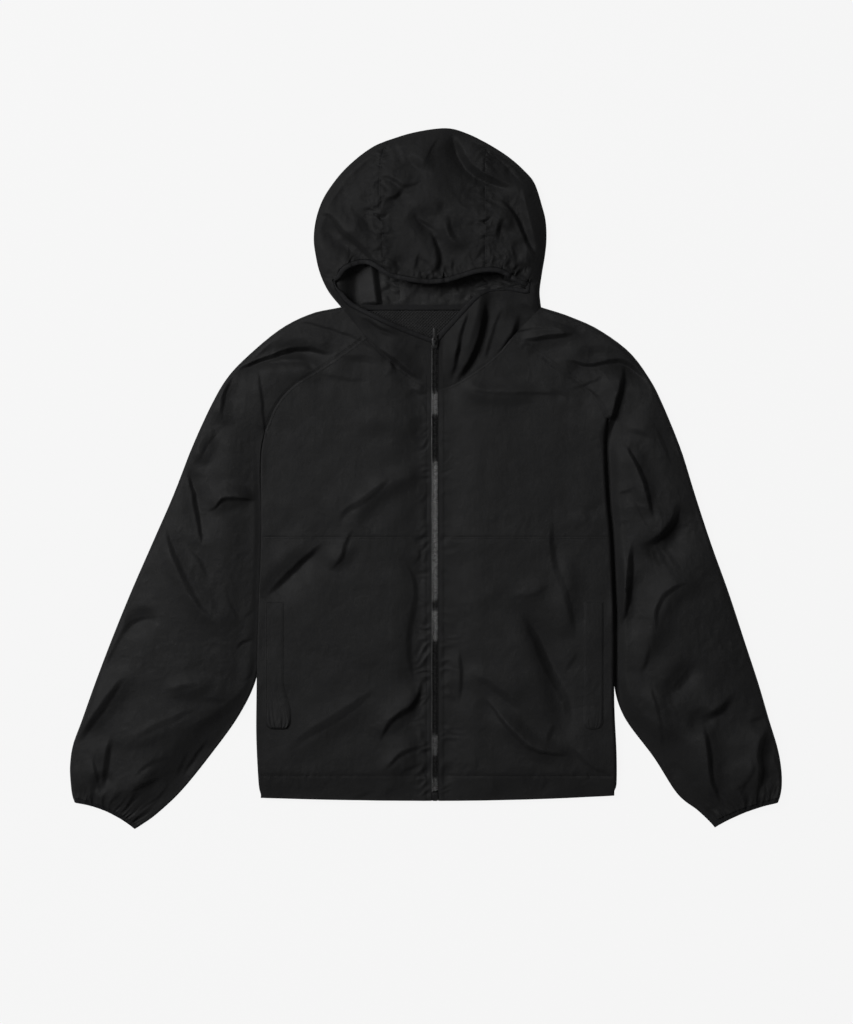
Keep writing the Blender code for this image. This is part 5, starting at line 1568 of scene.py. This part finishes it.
def zip_line(y):
    """Height of the cloth beside the zip."""
    return ZIP_HEIGHT + CHIN_LIFT * np.clip((y - NECK_FRONT_Y) / (ZIP_TOP - NECK_FRONT_Y), 0, 1)


def shape_of(bm):
    """A bmesh's points and faces; it is freed."""
    bm.verts.index_update()
    made = (np.array([vert.co for vert in bm.verts]),
            [[vert.index for vert in face.verts] for face in bm.faces])
    bm.free()
    return made


def chamfered_box(size, bevel):
    """Points and faces of a box with its edges cut off."""
    half = np.array(size) / 2
    hull = bmesh.new()
    for axis in range(3):
        for signs in np.ndindex(2, 2, 2):
            corner = (2 * np.array(signs) - 1) * (half - bevel)
            corner[axis] = (2 * signs[axis] - 1) * half[axis]
            hull.verts.new(corner)
    bmesh.ops.convex_hull(hull, input=hull.verts)
    bmesh.ops.dissolve_limit(hull, angle_limit=0.02, verts=hull.verts, edges=hull.edges)
    return shape_of(hull)


def prism(outline, low, high, bevel, sideways=False):
    """A plate with rounded edges from an outline, between two heights or two places in x."""
    def placed(pair, height):
        return (height, *pair) if sideways else (*pair, height)

    bm = bmesh.new()
    base = bm.faces.new([bm.verts.new(placed(pair, low)) for pair in outline])
    grown = bmesh.ops.extrude_face_region(bm, geom=[base])["geom"]
    moved = [part for part in grown if isinstance(part, bmesh.types.BMVert)]
    bmesh.ops.translate(bm, verts=moved, vec=placed((0, 0), high - low))
    bmesh.ops.recalc_face_normals(bm, faces=bm.faces)
    if bevel:
        bmesh.ops.bevel(bm, geom=bm.edges, offset=bevel, segments=2, profile=0.6,
                        affect="EDGES", clamp_overlap=True)
    return shape_of(bm)


def tape_height(x, y):
    ribs = TAPE_RIB * np.cos(2 * np.pi * x / TAPE_RIB_PITCH)
    return zip_line(y) - WALL - TAPE_DROP + ribs


def make_tapes(tape):
    y = filled((HEM_CENTER_Y + 0.5, CHAIN_TOP), TAPE_STEP)
    for side, sign in SIDES.items():
        x = sign * np.linspace(TAPE_START_X, TAPE_WIDTH, TAPE_COLUMNS)
        plan = np.stack(np.meshgrid(x, y), -1)
        cloth(f"zip_tape_{side}", raised(plan, tape_height), tape, TAPE_WALL,
              flip=sign < 0)


def tooth_template():
    """A tooth of the row at the right: a head over the centre line, a bar and a foot."""
    boxes = []
    for size, x, bevel in ((TOOTH_BAR, 0, BAR_BEVEL), (TOOTH_HEAD, -TOOTH_REACH, TOOTH_BEVEL),
                           (TOOTH_FOOT, TOOTH_REACH, TOOTH_BEVEL)):
        points, faces = chamfered_box(size, bevel)
        boxes.append((points + (x, 0, (size[2] - TOOTH_HEAD[2]) / 2), faces))
    return merged(boxes)


def make_teeth(plastic):
    """Two rows of moulded teeth that mesh at the centre line, on a chain that lies unevenly."""
    y = np.arange(ZIP_BOX_TOP + FIRST_TOOTH, CHAIN_TOP, TOOTH_PITCH / 2)
    side = np.where(np.arange(len(y)) % 2, 1.0, -1.0)
    top = zip_line(y) + CHAIN_PROUD
    places = np.stack([side * TOOTH_X, y, top - TOOTH_HEAD[2] / 2], -1)
    tilt = np.radians(np.interp(y, *np.array(TILTS, float).T))
    toward = np.radians(TILT_AZIMUTH)
    axis = Vector((-np.sin(toward), np.cos(toward), 0))
    turns = np.array([Matrix.Rotation(angle, 3, axis) for angle in tilt])
    turns[:, :, :2] *= side[:, None, None]
    teeth = joined("zip_teeth", [repeated(tooth_template(), places, turns)], plastic)
    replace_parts(teeth, "zip_chain")


def make_cord(tape):
    """The round cord along the zip tape's edge, on the side where it shows. Its finish is lighter
    than the tape's, a painted highlight, besides its real gloss.
    """
    y = np.linspace(ZIP_BOX_TOP, CHAIN_TOP, CORD_RINGS)
    turn = np.linspace(0, 2 * np.pi, CORD_FACETS + 1)[:-1]
    x = CORD_X + CORD_WANDER * noise(y, 0 * y, CORD_WAVE, 71)
    rings = np.stack([x[:, None] + CORD_RADIUS * np.cos(turn), y[:, None] + 0 * turn,
                      zip_line(y)[:, None] + CORD_RADIUS * np.sin(turn)], -1)
    faces = ring_faces(CORD_RINGS, CORD_FACETS)
    joined("zip_cord", [(rings.reshape(-1, 3), faces)], tape)


def mirrored(half):
    """A closed outline from its right half, given from the bottom up."""
    return [*half, *[(-x, y) for x, y in half[::-1]]]


def make_slider(metal):
    """The slider: two flared plates on a post, and the arch over the pull tab's pin."""
    low_y = SLIDER_Y - SLIDER_HALF_LENGTH
    high_y = SLIDER_Y + SLIDER_HALF_LENGTH
    shield = mirrored(((2.6, low_y), (3.1, low_y + 3), (4.1, low_y + 7), (4.3, high_y - 3),
                       (3.6, high_y - 0.8), (2.4, high_y)))
    low_z = float(zip_line(low_y)) - WALL - TAPE_DROP - TAPE_WALL - GAP - PLATE
    post = mirrored(((0.5, CHAIN_TOP + 0.6), (1.1, CHAIN_TOP + 2), (1.1, CHAIN_TOP + 7),
                     (0.6, CHAIN_TOP + 8.4)))
    foot_z = TOP_PLATE_Z + 0.6
    outer = ((3.1, foot_z), (2.9, PIN_Z + 1.4), (1.9, PIN_Z + 2.3))
    inner = ((1.9, foot_z), (1.8, PIN_Z + 0.8), (1.2, PIN_Z + 1.3))
    arch = [(PIN_Y + sign * off, z) for sign, run in
            ((-1, outer), (1, outer[::-1]), (1, inner), (-1, inner[::-1])) for off, z in run]
    parts = [prism(shield, TOP_PLATE_Z, TOP_PLATE_Z + PLATE, 0.35),
             prism(shield, low_z, low_z + PLATE, 0.35),
             prism(post, low_z + PLATE / 2, TOP_PLATE_Z + PLATE / 2, 0),
             prism(arch, -ARCH_HALF_WIDTH, ARCH_HALF_WIDTH, 0.25, sideways=True)]
    slider = joined("zip_slider_body", parts, metal)
    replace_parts(slider, "zip_slider")


def make_pull_tab(metal):
    """A tapered tab: its pin, two arms round the eye and a plate with a raised middle."""
    far_y = PIN_Y + TAB_LENGTH
    eye_y = PIN_Y + 4.6
    plate = mirrored(((1.6, eye_y - 0.4), (2.2, eye_y + 1), (2.85, far_y - 3),
                      (2.5, far_y - 0.9), (1.5, far_y)))
    inset = mirrored(((1.0, eye_y + 2), (1.3, eye_y + 3), (1.8, far_y - 3.2),
                      (1.2, far_y - 1.8)))
    arms = [prism([(sign * 1.35, PIN_Y - 0.5), (sign * 2.5, PIN_Y - 0.5),
                   (sign * 2.2, eye_y + 1), (sign * 1.2, eye_y + 1)], PIN_Z - 0.5, PIN_Z + 0.5,
                  0.2) for sign in (-1, 1)]
    pin = prism(mirrored(((2.3, PIN_Y - 0.55), (2.3, PIN_Y + 0.55))), PIN_Z - 0.55,
                PIN_Z + 0.55, 0.25)
    parts = [prism(plate, PIN_Z - 0.5, PIN_Z + 0.5, 0.25),
             prism(inset, PIN_Z + 0.3, PIN_Z + 0.75, 0.15), pin, *arms]
    tab = joined("pull_tab_plate", parts, metal, "pull_tab")
    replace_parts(tab, "pull_tab")


def make_zip_box(metal):
    """The retainer box at the hem, with the insertion pin beside it."""
    low = HEM_CENTER_Y
    body = mirrored(((2.9, low), (3.7, low + 1), (3.7, ZIP_BOX_TOP - 1), (3.0, ZIP_BOX_TOP)))
    pin = [(-2.4, ZIP_BOX_TOP - 6), (-1.2, ZIP_BOX_TOP - 6), (-1.2, ZIP_BOX_TOP - 0.2),
           (-2.4, ZIP_BOX_TOP - 0.2)]
    parts = [prism(body, ZIP_HEIGHT - 3.5, ZIP_HEIGHT + 1.4, 0.5),
             prism(pin, ZIP_HEIGHT + 0.4, ZIP_HEIGHT + 1.9, 0.3)]
    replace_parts(joined("zip_box_body", parts, metal), "zip_box")


# ---------------------------------------------------------------- stitching

STITCH_PITCH = 3.2
STITCH_LENGTH = 2.3
STITCH_RADIUS = 0.3
STITCH_SINK = 0.05
STITCH_FACETS = 5
STITCH_END_X = 234.0
CHEST_STITCH_X = 6.0    # where the chest's and the hem's stitches start beside the zip
HEM_STITCH_X = 13.0
ZIP_STITCH_PAST = 20.0  # of the zip's stitches above the front neck seam
WELT_STITCH_START = 14.0        # of a welt's stitches above its lower end
ABOVE_ALL = 200.0
CHEST_STITCH = 1.6      # distances of the rows of stitches from their seams
RAGLAN_STITCH = 3.2
NECK_STITCH = 2.6
HOOD_STITCH = 1.6
WELT_STITCH = 1.5
STITCH_DROP = 2.0       # a stitch whose ends differ more in height is left out


def stitch_template():
    """A slim spindle along X, from 0 to 1, with a radius of 1 across it."""
    rings = ((0.0, 0.35), (0.25, 1.0), (0.75, 1.0), (1.0, 0.35))
    turns = np.arange(STITCH_FACETS) * 2 * np.pi / STITCH_FACETS
    points = [(along, radius * np.cos(turn), radius * np.sin(turn))
              for along, radius in rings for turn in turns]
    spots = list(range(len(points)))
    return np.array(points), [*ring_faces(len(rings), STITCH_FACETS),
                              spots[:STITCH_FACETS][::-1], spots[-STITCH_FACETS:]]


def dropped(tree, plan):
    """Points in plan laid on the upper surface, or nan where there is none."""
    heights = []
    for x, y in plan:
        hit = tree.ray_cast(Vector((x, y, ABOVE_ALL)), Vector((0, 0, -1)))[0]
        heights.append(np.nan if hit is None else hit.z)
    return level(plan, np.array(heights))


def stitched(tree, line):
    """Starts and ends of the stitches along a line in plan."""
    starts = np.arange(0, lengths_along(line)[-1] - STITCH_LENGTH, STITCH_PITCH)
    begin = dropped(tree, at_lengths(line, starts))
    end = dropped(tree, at_lengths(line, starts + STITCH_LENGTH))
    kept = ~np.isnan(begin[:, 2] + end[:, 2]) & (np.abs(end[:, 2] - begin[:, 2]) < STITCH_DROP)
    return begin[kept], end[kept]


def stitch_lines():
    """The lines of stitches in plan, each side's in turn."""
    lines = []
    for side, sign in SIDES.items():
        near, edge = WELT[side]
        chest_y = CHEST_SEAM_Y - CHEST_STITCH
        runs = (((CHEST_STITCH_X, chest_y), (STITCH_END_X, chest_y)),
                ((HEM_STITCH_X, HEM_STITCH_Y), (STITCH_END_X, HEM_STITCH_Y)),
                ((ZIP_SEAM_X, HEM_CENTER_Y + 2),
                 (ZIP_SEAM_X, NECK_FRONT_Y + ZIP_STITCH_PAST)))
        welt = ((edge - WELT_STITCH, WELT_LOW_Y + WELT_STITCH_START),
                (edge - WELT_STITCH, WELT_HIGH_Y - WELT_STITCH),
                (near + WELT_STITCH, WELT_HIGH_Y - WELT_STITCH))
        lines += [np.array(run) * (sign, 1) for run in runs]
        lines += [shifted(RAGLAN_LINES[side], -sign * RAGLAN_STITCH),
                  shifted(RAGLAN_LINES[side], sign * RAGLAN_STITCH),
                  shifted(NECK_LINES[side], -sign * NECK_STITCH),
                  shifted(HOOD_SEAM_LINES[side], HOOD_STITCH), np.array(welt) * (sign, 1)]
    return lines


def make_stitching(thread):
    """Every stitch as a spindle that lies on the cloth below it."""
    firsts = np.cumsum([0] + [len(points) for points, faces in TOPS])
    points = np.vstack([points for points, faces in TOPS])
    faces = np.vstack([top[1] + first for top, first in zip(TOPS, firsts)])
    tree = BVHTree.FromPolygons(points.tolist(), faces.tolist())
    begin, end = (np.vstack(ends) for ends in zip(*(stitched(tree, line)
                                                   for line in stitch_lines())))
    run = end - begin
    begin[:, 2] += STITCH_RADIUS - STITCH_SINK
    across = np.cross((0, 0, 1.0), run)
    across /= np.linalg.norm(across, axis=1)[:, None]
    up = np.cross(run, across)
    up /= np.linalg.norm(up, axis=1)[:, None]
    turns = np.stack([run, STITCH_RADIUS * across, STITCH_RADIUS * up], -1)
    joined("stitching", [repeated(stitch_template(), begin, turns)], thread)


# ---------------------------------------------------------------- materials

CRINKLE_BUMP = 0.5
SLUB_BUMP = 0.10
WEAVE_BUMP = 0.03
WEAVE_SCALE = 1000.0
NET_SCALE = 340.0


def tone(value, blue):
    """A near-black with a cool cast."""
    return value, value, blue


class Nodes:
    """A short way to add and link the nodes of one material."""

    def __init__(self, name):
        self.material = bpy.data.materials.new(name)
        self.material.use_nodes = True
        self.tree = self.material.node_tree
        self.shader = self.tree.nodes["Principled BSDF"]
        self.place = self.add("ShaderNodeTexCoord").outputs["Object"]

    def add(self, kind, **values):
        node = self.tree.nodes.new(kind)
        for name, value in values.items():
            setattr(node, name, value)
        return node

    def link(self, source, target):
        self.tree.links.new(source, target)

    def scaled(self, scale):
        node = self.add("ShaderNodeMapping")
        node.inputs["Scale"].default_value = scale
        self.link(self.place, node.inputs["Vector"])
        return node.outputs["Vector"]

    def noise(self, scale, detail=2.0, stretch=(1, 1, 1)):
        node = self.add("ShaderNodeTexNoise")
        node.inputs["Scale"].default_value = scale
        node.inputs["Detail"].default_value = detail
        self.link(self.scaled(stretch), node.inputs["Vector"])
        return node.outputs["Fac"]

    def wave(self, scale, direction):
        node = self.add("ShaderNodeTexWave", bands_direction=direction)
        node.inputs["Scale"].default_value = scale
        node.inputs["Distortion"].default_value = 0.6
        node.inputs["Detail"].default_value = 0
        self.link(self.place, node.inputs["Vector"])
        return node.outputs["Fac"]

    def blend(self, source, low, high):
        """A value or colour that runs from low to high with the source."""
        node = self.add("ShaderNodeMapRange")
        self.link(source, node.inputs["Value"])
        node.inputs["From Min"].default_value = 0.3
        node.inputs["From Max"].default_value = 0.7
        node.inputs["To Min"].default_value = low
        node.inputs["To Max"].default_value = high
        return node.outputs["Result"]

    def tinted(self, source, dark, light):
        node = self.add("ShaderNodeMix", data_type="RGBA")
        node.inputs["A"].default_value = (*dark, 1)
        node.inputs["B"].default_value = (*light, 1)
        self.link(self.blend(source, 0.0, 1.0), node.inputs["Factor"])
        self.link(node.outputs["Result"], self.shader.inputs["Base Color"])

    def bump(self, source, height, below=None):
        node = self.add("ShaderNodeBump")
        node.inputs["Distance"].default_value = height * MM
        node.inputs["Strength"].default_value = 1.0
        self.link(source, node.inputs["Height"])
        if below is not None:
            self.link(below, node.inputs["Normal"])
        self.link(node.outputs["Normal"], self.shader.inputs["Normal"])
        return node.outputs["Normal"]

    def rough(self, source, low, high):
        self.link(self.blend(source, low, high), self.shader.inputs["Roughness"])

    def shine(self, specular, sheen=0.0):
        self.shader.inputs["Specular IOR Level"].default_value = specular
        self.shader.inputs["Sheen Weight"].default_value = sheen
        self.shader.inputs["Sheen Roughness"].default_value = 0.5


def nylon(name, dark, light, rough, specular):
    """Light plain-weave nylon: fine weave, crinkles and faint streaks down the cloth."""
    made = Nodes(name)
    streaks = made.noise(30.0, 3.0, (1.6, 0.7, 1.0))
    made.tinted(streaks, dark, light)
    made.rough(made.noise(55.0, 3.0), rough - 0.07, rough + 0.07)
    normal = made.bump(made.noise(150.0, 3.0, (1.0, 0.8, 1.0)), CRINKLE_BUMP)
    normal = made.bump(made.noise(700.0, 2.0, (1.0, 0.7, 1.0)), SLUB_BUMP, normal)
    normal = made.bump(made.wave(WEAVE_SCALE, "X"), WEAVE_BUMP, normal)
    made.bump(made.wave(WEAVE_SCALE, "Y"), WEAVE_BUMP, normal)
    made.shine(specular, 0.02)
    return made.material


def ribbed(name, dark, light, direction, scale, depth):
    """Woven tape or elastic with ribs across it, tinted darker in the grooves between the ribs as
    painted shade.
    """
    made = Nodes(name)
    ribs = made.wave(scale, direction)
    # Painted shade: the ribs' tint is dark in their grooves and light on their crests, from the
    # same texture as their bump
    made.tinted(ribs, dark, light)
    made.rough(made.noise(300.0), 0.62, 0.8)
    normal = made.bump(ribs, depth)
    made.bump(made.noise(900.0), 0.08, normal)
    made.shine(0.2, 0.03)
    return made.material


def net(name, dark, light):
    """Knitted mesh: rows of small open diamonds, set in relief, with painted shade that makes the
    holes near-black and the strands lighter.
    """
    made = Nodes(name)
    turned = made.add("ShaderNodeMapping")
    turned.inputs["Rotation"].default_value = (0, 0, np.pi / 4)
    made.link(made.place, turned.inputs["Vector"])
    holes = made.add("ShaderNodeTexVoronoi", feature="F1", distance="CHEBYCHEV")
    holes.inputs["Scale"].default_value = NET_SCALE
    holes.inputs["Randomness"].default_value = 0.0
    made.link(turned.outputs["Vector"], holes.inputs["Vector"])
    # Painted shade: the holes are tinted near-black and the raised strands lighter, from the same
    # texture as the relief
    made.tinted(holes.outputs["Distance"], dark, light)
    made.rough(made.noise(400.0), 0.6, 0.8)
    made.bump(holes.outputs["Distance"], 1.2)
    made.shine(0.3, 0.03)
    return made.material


def hard(name, dark, light, rough, specular, grain):
    """Moulded plastic or painted die casting, with slight wear in its finish."""
    made = Nodes(name)
    made.tinted(made.noise(180.0, 3.0), dark, light)
    made.rough(made.noise(260.0, 2.0), rough - 0.06, rough + 0.08)
    made.bump(made.noise(2500.0, 2.0), grain)
    made.shine(specular)
    return made.material


# ---------------------------------------------------------------- floor, light and camera

FLOOR_SIZE = 9000.0
FLOOR_Z = -0.2
FLOOR_TONE = 0.03
FLOOR_GLOW = 0.9
PHOTO_HEIGHT_PX = 1024
MM_PER_PX = 1.33
VIEW_CENTER = (-11.3, -42.6)
CAMERA_HEIGHT = 4000.0
SENSOR = 36.0
KEY_AZIMUTH = 150.0     # from +X towards +Y
KEY_ELEVATION = 49.0
KEY_DISTANCE = 3300.0
KEY_SIZE = 1250.0
KEY_POWER = 76.0
FILL_AZIMUTH = 315.0
FILL_ELEVATION = 60.0
FILL_SIZE = 2500.0
FILL_POWER = 3.5
WORLD_STRENGTH = 0.07


def plain_floor():
    made = bpy.data.materials.new("pale floor")
    made.use_nodes = True
    shader = made.node_tree.nodes["Principled BSDF"]
    shader.inputs["Base Color"].default_value = (FLOOR_TONE, FLOOR_TONE, FLOOR_TONE, 1)
    shader.inputs["Roughness"].default_value = 1.0
    shader.inputs["Specular IOR Level"].default_value = 0.0
    shader.inputs["Emission Color"].default_value = (1, 1, 1, 1)
    shader.inputs["Emission Strength"].default_value = FLOOR_GLOW
    return made


def aimed_light(name, azimuth, elevation, distance, size, power):
    turn, rise = np.radians((azimuth, elevation))
    away = Vector((np.cos(turn) * np.cos(rise), np.sin(turn) * np.cos(rise), np.sin(rise)))
    lamp = bpy.data.lights.new(name, "AREA")
    lamp.shape = "SQUARE"
    lamp.size = size * MM
    lamp.energy = power
    made = bpy.data.objects.new(name, lamp)
    made.location = away * distance * MM
    made.rotation_mode = "QUATERNION"
    made.rotation_quaternion = away.to_track_quat("Z", "Y")
    bpy.context.scene.collection.objects.link(made)


def make_studio():
    half = FLOOR_SIZE / 2
    corners = [(x, y, FLOOR_Z) for x, y in ((-half, -half), (half, -half), (half, half),
                                            (-half, half))]
    floor = bpy.data.objects.new("floor", mesh_of("floor", corners, [(0, 1, 2, 3)]))
    floor.data.materials.append(plain_floor())
    bpy.context.scene.collection.objects.link(floor)
    floor.visible_glossy = False
    aimed_light("key", KEY_AZIMUTH, KEY_ELEVATION, KEY_DISTANCE, KEY_SIZE, KEY_POWER)
    aimed_light("fill", FILL_AZIMUTH, FILL_ELEVATION, KEY_DISTANCE, FILL_SIZE, FILL_POWER)
    world = bpy.data.worlds.new("studio")
    world.use_nodes = True
    world.node_tree.nodes["Background"].inputs["Color"].default_value = (1, 1, 1, 1)
    world.node_tree.nodes["Background"].inputs["Strength"].default_value = WORLD_STRENGTH
    bpy.context.scene.world = world
    bpy.context.scene.view_settings.view_transform = "Standard"
    lens = bpy.data.cameras.new("photo")
    lens.sensor_width = SENSOR
    lens.lens = SENSOR * CAMERA_HEIGHT / (PHOTO_HEIGHT_PX * MM_PER_PX)
    lens.clip_end = 100
    camera = bpy.data.objects.new("photo", lens)
    camera.location = Vector((*VIEW_CENTER, CAMERA_HEIGHT)) * MM
    bpy.context.scene.collection.objects.link(camera)
    bpy.context.scene.camera = camera


# ---------------------------------------------------------------- jacket

Finishes = namedtuple("Finishes", "shell hood elastic tape lining plastic cord metal thread")
Cut = namedtuple("Cut", "width length area rests_on")


def make_finishes():
    """A cloth's finishes are the ones of its outside and its inside."""
    inside = nylon("black nylon inside", tone(0.0145, 0.0148), tone(0.017, 0.0173), 0.5, 0.16)
    return Finishes(
        shell=(nylon("black nylon", tone(0.0145, 0.0148), tone(0.0158, 0.0161), 0.55, 0.14),
               inside),
        # The hood's nylon is a darker, less glossy copy of the shell's: painted shade, so that the
        # hood looks darker than the body as if the light fell less on it
        hood=(nylon("black nylon, painted shade for the hood", tone(0.0142, 0.0145), tone(0.0156, 0.0159), 0.56, 0.1),
              inside),
        elastic=(ribbed("black elastic", tone(0.006, 0.0065), tone(0.014, 0.015), "X", 260.0,
                        0.15),),
        tape=(ribbed("black tape", tone(0.008, 0.0085), tone(0.014, 0.015), "Y", 400.0, 0.12),),
        lining=(net("black mesh", tone(0.002, 0.0023), tone(0.034, 0.0345)),),
        plastic=hard("dark moulded teeth", tone(0.018, 0.0182), tone(0.028, 0.0283), 0.27, 0.42,
                     0.02),
        # The cord's tone is lighter than the tape's: a painted highlight that draws a bright line
        # along the zip; its gloss is real
        cord=hard("zip cord, lightened as painted highlight", tone(0.03, 0.03), tone(0.05, 0.05), 0.32, 0.6, 0.02),
        metal=hard("black painted metal", tone(0.006, 0.0062), tone(0.013, 0.0132), 0.34, 0.35,
                   0.03),
        thread=ribbed("black thread", tone(0.003, 0.0033), tone(0.007, 0.0073), "X", 900.0, 0.05))


def main():
    finish = make_finishes()
    make_back(finish.shell)
    make_fronts(finish.shell)
    make_sleeves(finish.shell, finish.elastic)
    make_hood(finish.hood, finish.elastic)
    make_neck_trims(finish.tape, finish.lining)
    make_tapes(finish.tape)
    make_teeth(finish.plastic)
    make_cord(finish.cord)
    make_slider(finish.metal)
    make_pull_tab(finish.metal)
    make_zip_box(finish.metal)
    make_stitching(finish.thread)
    set_walls()
    make_studio()


main()
